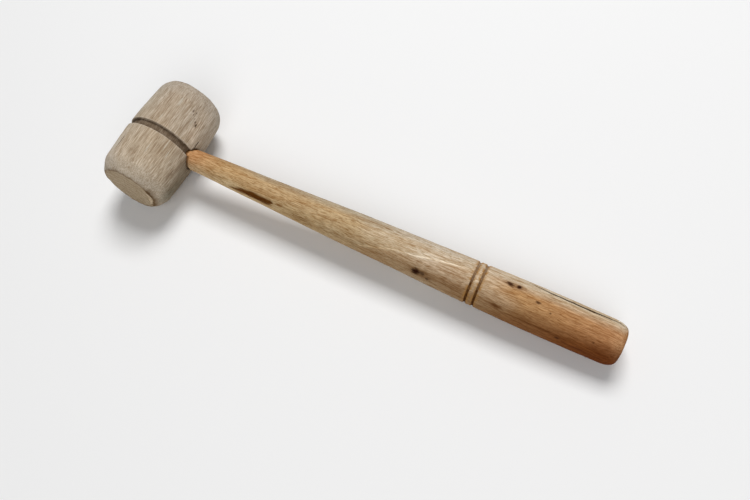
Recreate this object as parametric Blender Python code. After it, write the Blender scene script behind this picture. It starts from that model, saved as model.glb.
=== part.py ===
"""Small turned wooden mallet: a barrel head, a wedged handle and the handle's wedge.

The mallet lies on its side on the ground plane. +X runs along the handle towards the
grip, the head's axis is parallel to Y, and +Z is up. All lengths are in metres.

Stations along the head are measured from the middle of its groove, and stations along
the handle from the head's axis.
"""

import math

import bmesh
import bpy

# Head: a barrel turned about its own axis, fullest at the groove
HEAD_RADIUS = 0.025
FRONT_LENGTH = 0.036
BACK_LENGTH = 0.0383
BARREL_TAPER = 0.078
BARREL_SPAN = 0.036
GROOVE_WIDTH = 0.0044
GROOVE_DEPTH = 0.0020
FRONT_CORNER = 0.0095
FRONT_FLAT = 0.77
BACK_CORNER = 0.0072
BACK_FLAT = 0.87
CORNER_POWER = 1.55

# Handle: one turned stick
TENON_END = -0.0246
ROOT_RADIUS = 0.00665
SHAFT_END_RADIUS = 0.0121
SHAFT_FULLNESS = 0.4
LINE_STATIONS = (0.2110, 0.2153)
LINE_WIDTH = 0.0012
LINE_DEPTH = 0.0007
GRIP_SWELL = 0.00045
BUTT_STATION = 0.289
BUTT_CORNER = 0.009
BUTT_FLAT = 0.64
BUTT_POWER = 2.4

# Wedge, driven into a kerf in the tenon from the side away from the grip
WEDGE_LENGTH = 0.018
WEDGE_WIDTH = 0.0122
WEDGE_OUTER_THICKNESS = 0.0026
WEDGE_INNER_THICKNESS = 0.0008
FIT_GAP = 0.0003

HEAD_SEGMENTS = 64
HANDLE_SEGMENTS = 48
CORNER_STEPS = 6
BARREL_STEPS = 6
SHAFT_STEPS = 12
GRIP_STEPS = 8
SHARP_ANGLE = math.radians(35)

HEAD_COLOUR = (0.445, 0.352, 0.254)
HANDLE_COLOUR = (0.546, 0.352, 0.188)
WEDGE_COLOUR = (0.300, 0.190, 0.105)
WOOD_ROUGHNESS = 0.62


def spaced(start, end, steps):
    """Evenly spaced values from start to end, both included."""
    return [start + (end - start) * i / steps for i in range(steps + 1)]


def corner_shares(power):
    """Points of a superelliptic corner, from the flat face to the side.

    Each point is how much of the corner's depth and of its inset is still to come.
    """
    shares = []
    for angle in spaced(math.pi / 2, 0.0, CORNER_STEPS):
        depth_left = max(math.sin(angle), 0.0) ** (2 / power)
        inset_left = 1 - max(math.cos(angle), 0.0) ** (2 / power)
        shares.append((depth_left, inset_left))
    return shares


def barrel_radius(station):
    """Radius of the barrel, which thins as the square of the distance from the groove."""
    return HEAD_RADIUS * (1 - BARREL_TAPER * (station / BARREL_SPAN) ** 2)


def head_end(length, corner, flat):
    """Profile of one half of the head from its striking face to the groove's edge."""
    points = []
    for depth_left, inset_left in corner_shares(CORNER_POWER):
        station = length - corner + corner * depth_left
        points.append((station, barrel_radius(station) * (1 - (1 - flat) * inset_left)))
    for station in spaced(length - corner, GROOVE_WIDTH / 2, BARREL_STEPS)[1:]:
        points.append((station, barrel_radius(station)))
    points.append((GROOVE_WIDTH / 2, HEAD_RADIUS - GROOVE_DEPTH))
    return points


def head_profile():
    """Outline of the head from the front striking face to the back one."""
    front = head_end(FRONT_LENGTH, FRONT_CORNER, FRONT_FLAT)
    back = head_end(BACK_LENGTH, BACK_CORNER, BACK_FLAT)
    return [(-station, radius) for station, radius in front] + back[::-1]


def shaft_radius(station):
    """Radius of the tapered shaft: a parabola from the head's surface to the first line."""
    share = (station - HEAD_RADIUS) / (LINE_STATIONS[0] - HEAD_RADIUS)
    growth = (1 + SHAFT_FULLNESS) * share - SHAFT_FULLNESS * share ** 2
    return ROOT_RADIUS + (SHAFT_END_RADIUS - ROOT_RADIUS) * growth


def grip_radius(station):
    """Radius of the grip, which swells a little between its line and the butt's corner."""
    share = (station - LINE_STATIONS[1]) / (BUTT_STATION - BUTT_CORNER - LINE_STATIONS[1])
    return SHAFT_END_RADIUS + GRIP_SWELL * (1 - (2 * share - 1) ** 2)


def turned_line(station, radius):
    """A V cut round the handle at a station."""
    half = LINE_WIDTH / 2
    return [(station - half, radius), (station, radius - LINE_DEPTH), (station + half, radius)]


def handle_profile():
    """Outline of the handle from the tenon's end to the butt."""
    first, second = LINE_STATIONS
    half = LINE_WIDTH / 2
    points = [(TENON_END, ROOT_RADIUS), (0.0, ROOT_RADIUS)]
    points += [(s, shaft_radius(s)) for s in spaced(HEAD_RADIUS, first - half, SHAFT_STEPS)[:-1]]
    points += turned_line(first, SHAFT_END_RADIUS)
    points += turned_line(second, SHAFT_END_RADIUS)
    grip_end = BUTT_STATION - BUTT_CORNER
    points += [(s, grip_radius(s)) for s in spaced(second + half, grip_end, GRIP_STEPS)[1:-1]]
    for depth_left, inset_left in reversed(corner_shares(BUTT_POWER)):
        radius = SHAFT_END_RADIUS * (1 - (1 - BUTT_FLAT) * inset_left)
        points.append((grip_end + BUTT_CORNER * depth_left, radius))
    return points


def new_object(name, bm, rig):
    """Turns a bmesh into an object that rides on the rig."""
    mesh = bpy.data.meshes.new(name)
    bm.to_mesh(mesh)
    bm.free()
    mesh.shade_smooth()
    mesh.set_sharp_from_angle(angle=SHARP_ANGLE)
    piece = bpy.data.objects.new(name, mesh)
    bpy.context.scene.collection.objects.link(piece)
    piece.parent = rig
    return piece


def turned(name, profile, segments, rig):
    """Spins a profile of (station, radius) points about X, with a flat cap at each end."""
    bm = bmesh.new()
    chain = [bm.verts.new((station, 0.0, radius)) for station, radius in profile]
    edges = [bm.edges.new(pair) for pair in zip(chain, chain[1:])]
    bmesh.ops.spin(
        bm, geom=chain + edges, cent=(0, 0, 0), axis=(1, 0, 0), angle=2 * math.pi, steps=segments
    )
    bmesh.ops.remove_doubles(bm, verts=bm.verts, dist=1e-6)
    rims = [edge for edge in bm.edges if edge.is_boundary]
    bmesh.ops.edgeloop_fill(bm, edges=rims)
    bmesh.ops.recalc_face_normals(bm, faces=bm.faces)
    return new_object(name, bm, rig)


def wedge_block(name, margin, overrun, rig):
    """A block that tapers along X, grown by margin all round and by overrun outwards."""
    slope = (WEDGE_OUTER_THICKNESS - WEDGE_INNER_THICKNESS) / WEDGE_LENGTH
    outer_x = TENON_END - overrun
    inner_x = TENON_END + WEDGE_LENGTH + margin
    outer_half = (WEDGE_OUTER_THICKNESS + slope * overrun) / 2 + margin
    inner_half = (WEDGE_INNER_THICKNESS - slope * margin) / 2 + margin
    half_width = WEDGE_WIDTH / 2 + overrun
    bm = bmesh.new()
    bmesh.ops.create_cube(bm, size=2.0)
    for vert in bm.verts:
        outer = vert.co.x < 0
        x = outer_x if outer else inner_x
        half_thickness = outer_half if outer else inner_half
        vert.co = (x, vert.co.y * half_thickness, vert.co.z * half_width)
    return new_object(name, bm, rig)


def make_cutter(cutter):
    """Marks an object as a cutter that isn't part of the mallet."""
    cutter.hide_render = True
    cutter.display_type = "WIRE"


def cut(piece, cutter, name):
    """Takes the cutter's shape out of a piece."""
    make_cutter(cutter)
    modifier = piece.modifiers.new(name, "BOOLEAN")
    modifier.operation = "DIFFERENCE"
    modifier.solver = "EXACT"
    modifier.object = cutter


def wood(name, colour):
    """A plain unvarnished wood."""
    material = bpy.data.materials.new(name)
    material.use_nodes = True
    shader = material.node_tree.nodes["Principled BSDF"]
    shader.inputs["Base Color"].default_value = (*colour, 1.0)
    shader.inputs["Roughness"].default_value = WOOD_ROUGHNESS
    shader.inputs["Metallic"].default_value = 0.0
    return material


def make_rig():
    """An empty where the two axes cross, tipped so that head and grip both touch the ground."""
    grip_end = BUTT_STATION - BUTT_CORNER
    pitch = math.asin((HEAD_RADIUS - SHAFT_END_RADIUS) / grip_end)
    rig = bpy.data.objects.new("mallet", None)
    bpy.context.scene.collection.objects.link(rig)
    reach = BUTT_STATION * math.cos(pitch) + BUTT_FLAT * SHAFT_END_RADIUS * math.sin(pitch)
    rig.location = ((HEAD_RADIUS - reach) / 2, (FRONT_LENGTH - BACK_LENGTH) / 2, HEAD_RADIUS)
    rig.rotation_euler = (0.0, pitch, 0.0)
    return rig


def make_head(rig):
    """The barrel head, with the bore that takes the tenon."""
    head = turned("head", head_profile(), HEAD_SEGMENTS, rig)
    head.rotation_euler = (0.0, 0.0, math.pi / 2)
    bore = [(-2 * HEAD_RADIUS, ROOT_RADIUS + FIT_GAP), (2 * HEAD_RADIUS, ROOT_RADIUS + FIT_GAP)]
    cut(head, turned("bore_cutter", bore, HANDLE_SEGMENTS, rig), "bore")
    head.data.materials.append(wood("head_wood", HEAD_COLOUR))


def make_handle(rig):
    """The handle, with the kerf that takes the wedge."""
    handle = turned("handle", handle_profile(), HANDLE_SEGMENTS, rig)
    cut(handle, wedge_block("kerf_cutter", FIT_GAP, 0.004, rig), "kerf")
    handle.data.materials.append(wood("handle_wood", HANDLE_COLOUR))


def make_wedge(rig):
    """The wedge, its broad faces square to the head's grain so that it can't split the head."""
    wedge = wedge_block("tenon_wedge", 0.0, 0.0, rig)
    wedge.data.materials.append(wood("wedge_wood", WEDGE_COLOUR))


def main():
    for leftover in list(bpy.data.objects):
        bpy.data.objects.remove(leftover)
    rig = make_rig()
    make_head(rig)
    make_handle(rig)
    make_wedge(rig)


main()
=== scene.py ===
"""Looks of a small turned wooden mallet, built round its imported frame.

The head, the handle and the wedge are turned or tapered surfaces worked out with numpy,
each with its own unvarnished wood. Everything is in metres in the frame's own axes: +X
along the handle towards the grip, +Y along the head's axis, +Z up from the floor.
"""

import logging
import math
from dataclasses import dataclass
from enum import Enum

import bpy
import numpy as np
from mathutils import Euler, Matrix, Vector


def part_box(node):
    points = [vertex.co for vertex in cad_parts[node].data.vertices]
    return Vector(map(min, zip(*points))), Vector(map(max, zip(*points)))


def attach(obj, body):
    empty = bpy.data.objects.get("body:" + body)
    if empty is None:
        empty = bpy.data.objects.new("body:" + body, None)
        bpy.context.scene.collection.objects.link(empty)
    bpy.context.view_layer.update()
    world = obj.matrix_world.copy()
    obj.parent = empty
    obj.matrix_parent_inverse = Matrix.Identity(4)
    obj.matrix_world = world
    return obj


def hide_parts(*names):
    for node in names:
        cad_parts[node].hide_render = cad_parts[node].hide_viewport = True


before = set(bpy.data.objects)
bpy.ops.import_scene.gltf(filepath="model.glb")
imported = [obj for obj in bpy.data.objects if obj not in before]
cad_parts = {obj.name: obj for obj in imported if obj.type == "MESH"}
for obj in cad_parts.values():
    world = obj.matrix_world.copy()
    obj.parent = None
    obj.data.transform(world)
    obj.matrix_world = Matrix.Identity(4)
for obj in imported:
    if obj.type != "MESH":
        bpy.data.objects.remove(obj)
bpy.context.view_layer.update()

LOG = logging.getLogger("mallet")
BODY = "root"
TURN = 2 * math.pi
SHARP_ANGLE = math.radians(50.0)
REPEAT_GAP = 1e-7
Colour = tuple[float, float, float]
Socket = bpy.types.NodeSocket


# ---------------------------------------------------------------- places and surfaces


@dataclass(frozen=True)
class Spindle:
    """The lathe axis of a piece: a point on it and the turn that lays +X along it.

    A place on a piece is a station along the axis, a radius and a turn. Turns are counted
    from straight up, towards the grip on the head and towards the front on the handle.
    """

    origin: Vector
    rotation: Euler

    def basis(self) -> tuple[np.ndarray, np.ndarray, np.ndarray]:
        """Gives the unit vectors along the axis, up, and at a quarter turn."""
        columns = np.array(self.rotation.to_matrix()).T
        return columns[0], columns[2], -columns[1]

    def place(self, station: np.ndarray, radius: np.ndarray, turn: np.ndarray) -> np.ndarray:
        """Turns stations, radii and turns into points in the frame's axes.

        A point is origin + station * along + radius * (cos(turn) * up + sin(turn) * side).

        Args:
            station: Distances along the axis.
            radius: Distances from the axis.
            turn: Angles round the axis, in radians.

        Returns:
            An array of the inputs' common shape with a last axis of three.
        """
        along, up, side = self.basis()
        lift = (radius * np.cos(turn))[..., None] * up
        reach = (radius * np.sin(turn))[..., None] * side
        return np.array(self.origin) + station[..., None] * along + lift + reach

    def measure(self, points: np.ndarray) -> tuple[np.ndarray, np.ndarray, np.ndarray]:
        """Turns points back into stations, radii and turns, the inverse of place.

        Args:
            points: Points in the frame's axes, with a last axis of three.

        Returns:
            Their distances along the axis, distances from it and turns in radians.
        """
        along, up, side = self.basis()
        offset = points - np.array(self.origin)
        height, reach = offset @ up, offset @ side
        return offset @ along, np.hypot(height, reach), np.arctan2(reach, height)


class Unevenness:
    """Smooth seeded unevenness: a sum of plane sine waves in random directions."""

    waves = 28
    spread = (0.6, 1.7)

    def __init__(self, seed: int, wavelength: float, height: float) -> None:
        """Draws the waves, whose lengths lie within the spread of the typical one.

        Args:
            seed: Fixes the draw.
            wavelength: Typical distance between crests, in metres.
            height: Typical height, in metres. The whole stays within about 1.5 times that.
        """
        rng = np.random.default_rng(seed)
        direction = rng.normal(size=(self.waves, 3))
        direction /= np.linalg.norm(direction, axis=1, keepdims=True)
        lengths = wavelength * rng.uniform(*self.spread, self.waves)
        self.wave_vectors = direction * (TURN / lengths)[:, None]
        self.phases = rng.uniform(0, TURN, self.waves)
        self.height = height

    def __call__(self, points: np.ndarray) -> np.ndarray:
        """Gives height * sum(sin(k . p + phase)) / sqrt(waves) at each point."""
        swings = np.sin(points @ self.wave_vectors.T + self.phases)
        return self.height * (swings.sum(axis=-1) / math.sqrt(self.waves))


def smoothstep(low: float, high: float, value: np.ndarray) -> np.ndarray:
    """Rises smoothly from 0 at low to 1 at high: t * t * (3 - 2t) on the clipped share t."""
    share = np.clip((value - low) / (high - low), 0.0, 1.0)
    return share * share * (3 - 2 * share)


def arc(centre: tuple[float, float], radius: float, start: float, end: float, steps: int) -> np.ndarray:
    """Points of a circular arc in the profile plane.

    Args:
        centre: Station and radius of the arc's centre.
        radius: Radius of the arc.
        start: First angle in degrees, from +station towards +radius.
        end: Last angle in degrees.
        steps: How many stretches the arc is cut into.

    Returns:
        An array of (station, radius) rows.
    """
    angle = np.radians(np.linspace(start, end, steps + 1))
    return np.stack([centre[0] + radius * np.cos(angle), centre[1] + radius * np.sin(angle)], 1)


def straight(start: tuple[float, float], end: tuple[float, float], steps: int) -> np.ndarray:
    """Evenly spaced (station, radius) rows from start to end."""
    share = np.linspace(0.0, 1.0, steps + 1)[:, None]
    return np.array(start) * (1 - share) + np.array(end) * share


def joined(*stretches: np.ndarray) -> np.ndarray:
    """Chains profile stretches, dropping points that repeat the one before.

    Args:
        stretches: Arrays of (station, radius) rows.

    Returns:
        One array of rows.
    """
    points = np.concatenate(stretches)
    step = np.linalg.norm(np.diff(points, axis=0), axis=1)
    return points[np.concatenate([[True], step > REPEAT_GAP])]


def profile_normals(profile: np.ndarray) -> np.ndarray:
    """Outward normals of a profile that runs from low to high stations: (-dr, ds) / length.

    Args:
        profile: Array of (station, radius) rows.

    Returns:
        Array of unit (station, radius) rows.
    """
    tangent = np.gradient(profile, axis=0)
    normal = np.stack([-tangent[:, 1], tangent[:, 0]], 1)
    return normal / np.linalg.norm(normal, axis=1, keepdims=True)


def closed_mesh(name: str, grid: np.ndarray) -> bpy.types.Mesh:
    """Makes a closed mesh of a grid of points whose first and last rows are single points.

    Row i of the grid is a ring, and column j a line from pole to pole. Each quad takes
    points (i, j), (i, j+1), (i+1, j+1), (i+1, j), and a fan of triangles closes each pole.

    Args:
        name: Name of the mesh.
        grid: Array of rows by columns by three.

    Returns:
        The mesh, with its faces pointing out.
    """
    rows, columns = grid.shape[:2]
    rings = rows - 2
    points = np.concatenate([grid[:1, 0], grid[1:-1].reshape(-1, 3), grid[-1:, 0]])
    here = np.arange(columns)
    after = (here + 1) % columns
    ring = 1 + columns * np.arange(rings - 1)[:, None]
    quads = np.stack([ring + here, ring + after, ring + columns + after, ring + columns + here], -1)
    last = 1 + columns * (rings - 1)
    start_fan = np.stack([np.zeros(columns, int), 1 + after, 1 + here], 1)
    end_fan = np.stack([np.full(columns, len(points) - 1), last + here, last + after], 1)
    faces = quads.reshape(-1, 4).tolist() + start_fan.tolist() + end_fan.tolist()
    mesh = bpy.data.meshes.new(name)
    mesh.from_pydata(points, [], faces)
    mesh.update()
    return mesh


def mesh_points(mesh: bpy.types.Mesh) -> np.ndarray:
    """Reads a mesh's vertices.

    Args:
        mesh: The mesh.

    Returns:
        Array of rows of three, in metres.
    """
    flat = np.empty(len(mesh.vertices) * 3, np.float32)
    mesh.vertices.foreach_get("co", flat)
    return flat.reshape(-1, 3).astype(float)


def write_attribute(mesh: bpy.types.Mesh, name: str, values: np.ndarray) -> None:
    """Stores one number for each vertex under a name that a material can read."""
    attribute = mesh.attributes.new(name, "FLOAT", "POINT")
    attribute.data.foreach_set("value", values.astype(np.float32))


def add_piece(name: str, mesh: bpy.types.Mesh) -> bpy.types.Object:
    """Puts a mesh into the scene as an object at the origin.

    Args:
        name: Name of the object.
        mesh: Its mesh.

    Returns:
        The object.
    """
    piece = bpy.data.objects.new(name, mesh)
    bpy.context.scene.collection.objects.link(piece)
    return piece


def cut_away(piece: bpy.types.Object, cutter: bpy.types.Object) -> None:
    """Takes the cutter's volume out of a piece for good and removes the cutter.

    Args:
        piece: Object whose mesh is replaced by the cut one.
        cutter: Closed object that overlaps it.
    """
    modifier = piece.modifiers.new("cut", "BOOLEAN")
    modifier.operation = "DIFFERENCE"
    modifier.solver = "EXACT"
    modifier.object = cutter
    depsgraph = bpy.context.evaluated_depsgraph_get()
    mesh = bpy.data.meshes.new_from_object(piece.evaluated_get(depsgraph))
    piece.modifiers.clear()
    whole = piece.data
    piece.data = mesh
    mesh.name = piece.name
    bpy.data.meshes.remove(whole)
    bpy.data.objects.remove(cutter)


# ---------------------------------------------------------------- marks in the wood


class MarkKind(Enum):
    """What a mark in the wood is, which picks its stain."""

    KNOT = "knot"
    STREAK = "streak"
    PALE = "pale"


@dataclass(frozen=True)
class Mark:
    """A spot or streak in the wood, at a station and a turn on a piece's surface.

    The turn is in degrees, the length runs along the grain and the width across it. The
    share is how strongly it stains, and ragged how far its edge wanders.
    """

    kind: MarkKind
    station: float
    turn: float
    length: float
    width: float
    share: float = 1.0
    ragged: float = 1.6

    def centre(self, radius: float) -> tuple[float, float, float]:
        """Place in the piece's own axes, (station, -r sin(turn), r cos(turn))."""
        angle = math.radians(self.turn)
        return self.station, -radius * math.sin(angle), radius * math.cos(angle)

    def reach(self) -> tuple[float, float, float]:
        """Half sizes along the grain and across it."""
        return self.length / 2, self.width / 2, self.width / 2


@dataclass(frozen=True)
class Split:
    """A drying split: a narrow slit that opens and closes along the grain.

    It runs between two stations. Its turn, bow and sway are in degrees.
    """

    start: float
    end: float
    turn: float
    bow: float
    half_width: float
    depth: float
    sway: float = 0.48
    wave: float = 9.0
    ripple: float = 23.0
    ripple_share: float = 0.5
    wall: float = 0.25
    blunt: float = 1e-4

    def centre_turn(self, station: np.ndarray) -> np.ndarray:
        """Turn of the slit: turn + bow * u * u + sway * (sin(wave * u) + share * sin(ripple * u + 1)).

        Args:
            station: Distances along the axis. They give u, from -1 to 1 between the ends.

        Returns:
            Turns in degrees.
        """
        share = 2 * (station - self.start) / (self.end - self.start) - 1
        wander = np.sin(share * self.wave) + self.ripple_share * np.sin(share * self.ripple + 1.0)
        return self.turn + self.bow * share ** 2 + self.sway * wander

    def openness(self, station: np.ndarray, turn: np.ndarray, radius: np.ndarray) -> np.ndarray:
        """How deep in the slit a place is, from 0 outside it to 1 on its middle line.

        The cross distance is radius * (turn - centre turn). The slit's half width tapers
        as the square root of the distance to its ends.

        Args:
            station: Stations of the places.
            turn: Their turns, in radians.
            radius: Their radii.

        Returns:
            An array of numbers from 0 to 1.
        """
        share = np.clip((station - self.start) / (self.end - self.start), 0.0, 1.0)
        taper = np.sqrt(np.clip(4 * share * (1 - share), 0.0, 1.0)) + self.blunt
        offset = np.radians(self.centre_turn(station)) - turn
        offset = (offset + math.pi) % TURN - math.pi
        across = np.abs(radius * offset) / (self.half_width * taper)
        inside = (station > self.start) & (station < self.end)
        return np.where(inside, 1 - smoothstep(self.wall, 1.0, across), 0.0)


def opened_depth(splits: tuple[Split, ...], station: np.ndarray, turn: np.ndarray, radius: np.ndarray,
                 deep: bool) -> np.ndarray:
    """The largest of several splits' openness, or of their depths times their openness.

    Args:
        splits: The splits.
        station: Stations of the places.
        turn: Their turns, in radians.
        radius: Their radii.
        deep: Whether each openness is multiplied by its split's depth.

    Returns:
        An array of shares from 0 to 1, or of depths in metres.
    """
    opened = np.zeros(np.broadcast_shapes(station.shape, turn.shape, radius.shape))
    for split in splits:
        scale = split.depth if deep else 1.0
        opened = np.maximum(opened, scale * split.openness(station, turn, radius))
    return opened


@dataclass(frozen=True)
class Ribbon:
    """A line of figure that wanders over a piece, through (station, turn in degrees) places.

    It fades in and out over the two lengths, of which the overlap lies beyond its ends.
    """

    name: str
    path: tuple[tuple[float, float], ...]
    fade_in: float
    fade_out: float
    overlap: float = 0.2
    samples: int = 400
    smoothing: int = 61

    def offset(self, station: np.ndarray, turn: np.ndarray, radius: np.ndarray) -> np.ndarray:
        """Distance across the line, positive towards higher turns.

        The line's turn at a station is a smooth curve through its places, and the distance
        is radius * (turn - line turn) * cos(slope).

        Args:
            station: Stations of the places.
            turn: Their turns, in radians.
            radius: Their radii.

        Returns:
            Signed distances in metres.
        """
        places = np.array(self.path)
        dense = np.linspace(places[0, 0], places[-1, 0], self.samples)
        rough = np.interp(dense, places[:, 0], places[:, 1])
        kernel = np.hanning(self.smoothing)
        padded = np.pad(rough, self.smoothing // 2, mode="reflect", reflect_type="odd")
        line = np.radians(np.convolve(padded, kernel / kernel.sum(), mode="valid"))
        centre = np.interp(station, dense, line)
        slope = np.interp(station, dense, np.gradient(line, dense)) * radius
        return radius * (turn - centre) / np.sqrt(1 + slope ** 2)

    def presence(self, station: np.ndarray) -> np.ndarray:
        """Fades from 1 along the line to 0 beyond its two ends.

        Args:
            station: Stations of the places.

        Returns:
            An array of shares from 0 to 1.
        """
        start, end = self.path[0][0], self.path[-1][0]
        rise = smoothstep(start - self.fade_in * self.overlap, start + self.fade_in, station)
        return rise * (1 - smoothstep(end - self.fade_out, end + self.fade_out * self.overlap, station))


@dataclass(frozen=True)
class Chip:
    """A blow on the rim of a face: a facet knocked off it, and a pale lens of crushed wood.

    The facet lies along a plane. The lens lies inside the rim, with painted shade outside it
    where the facet turns away from the light, and a fainter band of painted shade inside. The
    shade's limits are in shares of the lens's half width, except the outer end, which is a radius.
    """

    turn: float
    reach: float
    station: float
    tilt: float
    lens_turn: float
    lens_reach: float
    lens_half_turn: float
    lens_half_width: float
    press: float = 0.00010
    ripple: Unevenness = Unevenness(31, 0.0022, 0.00008)
    lens_edge: tuple[float, float] = (0.65, 1.05)
    narrowest: float = 0.05
    shade_start: tuple[float, float] = (0.75, 1.2)
    shade_end: tuple[float, float] = (0.0186, 0.0218)
    inner_share: float = 0.45
    inner_start: tuple[float, float] = (0.85, 1.05)
    inner_end: tuple[float, float] = (1.2, 1.6)
    tip: tuple[float, float] = (0.0, 0.35)

    def height(self, spindle: Spindle, points: np.ndarray) -> tuple[np.ndarray, np.ndarray]:
        """Height of points above the chip's plane.

        It is (p - q) . n, where q lies at the chip's reach and station, and
        n = -cos(tilt) * along + sin(tilt) * outwards.

        Args:
            spindle: Axis of the piece.
            points: Points of its surface.

        Returns:
            The heights, and the plane's normal.
        """
        along, up, side = spindle.basis()
        turn, tilt = math.radians(self.turn), math.radians(self.tilt)
        outwards = math.cos(turn) * up + math.sin(turn) * side
        normal = -math.cos(tilt) * along + math.sin(tilt) * outwards
        foot = np.array(spindle.origin) + self.station * along + self.reach * outwards
        return (points - foot) @ normal, normal

    def cut(self, spindle: Spindle, points: np.ndarray) -> np.ndarray:
        """Presses whatever stands above the plane down onto it, a little roughly.

        Args:
            spindle: Axis of the piece.
            points: Points of its surface.

        Returns:
            The points, moved by (height + press + ripple) against the plane's normal.
        """
        height, normal = self.height(spindle, points)
        above = np.where(height > 0, height + self.press + self.ripple(points), 0.0)
        return points - above[..., None] * normal

    def chip_shade(self, turn: np.ndarray, radius: np.ndarray) -> tuple[np.ndarray, np.ndarray]:
        """Shows where the crushed lens and the painted shade beside it lie on the face.

        The lens's half width shrinks with the square of the turn from its middle, and a
        place's share of it is (radius - reach) / half width.

        Args:
            turn: Turns of the places, in radians.
            radius: Their radii.

        Returns:
            A mask of the lens and one of the painted shade.
        """
        offset = (turn - math.radians(self.lens_turn) + math.pi) % TURN - math.pi
        taper = 1 - (offset / math.radians(self.lens_half_turn)) ** 2
        half_width = self.lens_half_width * np.clip(taper, self.narrowest, 1.0)
        across = (radius - self.lens_reach) / half_width
        lens = (1 - smoothstep(*self.lens_edge, np.abs(across))) * (taper > 0)
        # Painted shade outside the lens, where the facet turns away from the light, and fainter inside it
        outside = smoothstep(*self.shade_start, across) * (1 - smoothstep(*self.shade_end, radius))
        inside = smoothstep(*self.inner_start, -across) * (1 - smoothstep(*self.inner_end, -across))
        chip_shade = np.maximum(outside, self.inner_share * inside)
        return lens, chip_shade * smoothstep(*self.tip, taper)


# ---------------------------------------------------------------- shader building blocks


class Tree:
    """Adds nodes to a node tree and links them in one call each."""

    def __init__(self, tree: bpy.types.NodeTree) -> None:
        """Keeps the tree that the nodes go into."""
        self.tree = tree

    def add(self, kind: str, inputs: dict[str | int, object], **settings: object) -> bpy.types.Node:
        """Adds a node.

        Args:
            kind: Blender's name for the node type.
            inputs: Constants or output sockets, by input name or index.
            settings: Properties of the node itself.

        Returns:
            The new node.
        """
        node = self.tree.nodes.new(kind)
        for key, value in settings.items():
            setattr(node, key, value)
        for key, value in inputs.items():
            if isinstance(value, bpy.types.NodeSocket):
                self.tree.links.new(value, node.inputs[key])
            else:
                node.inputs[key].default_value = value
        return node

    def math(self, operation: str, *values: object) -> Socket:
        """Adds a Math node and gives its value."""
        return self.add("ShaderNodeMath", dict(enumerate(values)), operation=operation).outputs[0]

    def vector(self, operation: str, *values: object) -> Socket:
        """Adds a Vector Math node and gives its vector."""
        node = self.add("ShaderNodeVectorMath", dict(enumerate(values)), operation=operation)
        return node.outputs["Vector"]

    def length(self, vector: Socket) -> Socket:
        """Gives the length of a vector."""
        return self.add("ShaderNodeVectorMath", {0: vector}, operation="LENGTH").outputs["Value"]

    def scaled(self, vector: Socket, along: object, across: object) -> Socket:
        """Divides a vector by one length along the grain and another across it."""
        sizes = self.add("ShaderNodeCombineXYZ", {0: along, 1: across, 2: across}).outputs[0]
        return self.vector("DIVIDE", vector, sizes)

    def noise(self, vector: Socket, detail: float = 2.0, roughness: float = 0.5) -> Socket:
        """Adds Noise at unit scale and gives its value."""
        inputs = {"Vector": vector, "Scale": 1.0, "Detail": detail, "Roughness": roughness}
        return self.add("ShaderNodeTexNoise", inputs).outputs[0]

    def remap(self, value: Socket, low: float, high: float, start: float = 0.0,
              end: float = 1.0) -> Socket:
        """Maps low..high to start..end with smooth ends."""
        inputs = {"Value": value, "From Min": low, "From Max": high, "To Min": start, "To Max": end}
        return self.add("ShaderNodeMapRange", inputs, interpolation_type="SMOOTHSTEP").outputs[0]

    def remap_linear(self, value: Socket, low: float, high: float) -> Socket:
        """Maps low..high to 0..1 in a straight line."""
        inputs = {"Value": value, "From Min": low, "From Max": high}
        return self.add("ShaderNodeMapRange", inputs).outputs[0]

    def mix(self, share: object, first: object, second: object, blend: str = "MIX") -> Socket:
        """Mixes two colours.

        Args:
            share: How much of the second colour comes in, a number or a socket.
            first: The first colour, three numbers or a socket.
            second: The second one.
            blend: Blender's name for the way of mixing.

        Returns:
            The mixed colour.
        """
        node = self.add("ShaderNodeMix", {0: share}, data_type="RGBA", blend_type=blend)
        for index, colour in ((6, first), (7, second)):
            if isinstance(colour, bpy.types.NodeSocket):
                self.tree.links.new(colour, node.inputs[index])
            else:
                node.inputs[index].default_value = (*colour, 1.0)
        return node.outputs[2]

    def ramp(self, value: Socket, stops: list[tuple[float, Colour]]) -> Socket:
        """Adds a Color Ramp.

        Args:
            value: What picks the colour.
            stops: Position and colour of each stop, two or more.

        Returns:
            The colour.
        """
        node = self.add("ShaderNodeValToRGB", {0: value})
        elements = node.color_ramp.elements
        while len(elements) < len(stops):
            elements.new(0.5)
        for element, (position, colour) in zip(elements, stops):
            element.position = position
            element.color = (*colour, 1.0)
        return node.outputs[0]

    def attribute(self, name: str) -> Socket:
        """Reads a number that the mesh stores for each vertex."""
        return self.add("ShaderNodeAttribute", {}, attribute_name=name).outputs["Fac"]


class ShaderGroup:
    """A shader node group with named inputs and outputs, built once and shared."""

    def __init__(self, name: str, inputs: dict[str, float | None], outputs: tuple[str, ...]) -> None:
        """Makes the group and its sockets.

        Args:
            name: Name of the group.
            inputs: Default of each number, or None for a vector.
            outputs: Names of the values that it puts out.
        """
        self.group = bpy.data.node_groups.new(name, "ShaderNodeTree")
        self.tree = Tree(self.group)
        sockets = self.group.interface
        for label, default in inputs.items():
            kind = "NodeSocketVector" if default is None else "NodeSocketFloat"
            socket = sockets.new_socket(name=label, in_out="INPUT", socket_type=kind)
            if default is not None:
                socket.default_value = default
        for label in outputs:
            sockets.new_socket(name=label, in_out="OUTPUT", socket_type="NodeSocketFloat")
        self.source = self.tree.add("NodeGroupInput", {}).outputs
        self.sink = self.tree.add("NodeGroupOutput", {})

    def give(self, name: str, value: Socket) -> None:
        """Links a value to one of the group's outputs."""
        self.group.links.new(value, self.sink.inputs[name])

    def place(self, tree: Tree, inputs: dict[str | int, object]) -> bpy.types.Node:
        """Puts the group into a material with its own values."""
        return tree.add("ShaderNodeGroup", inputs, node_tree=self.group)


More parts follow.
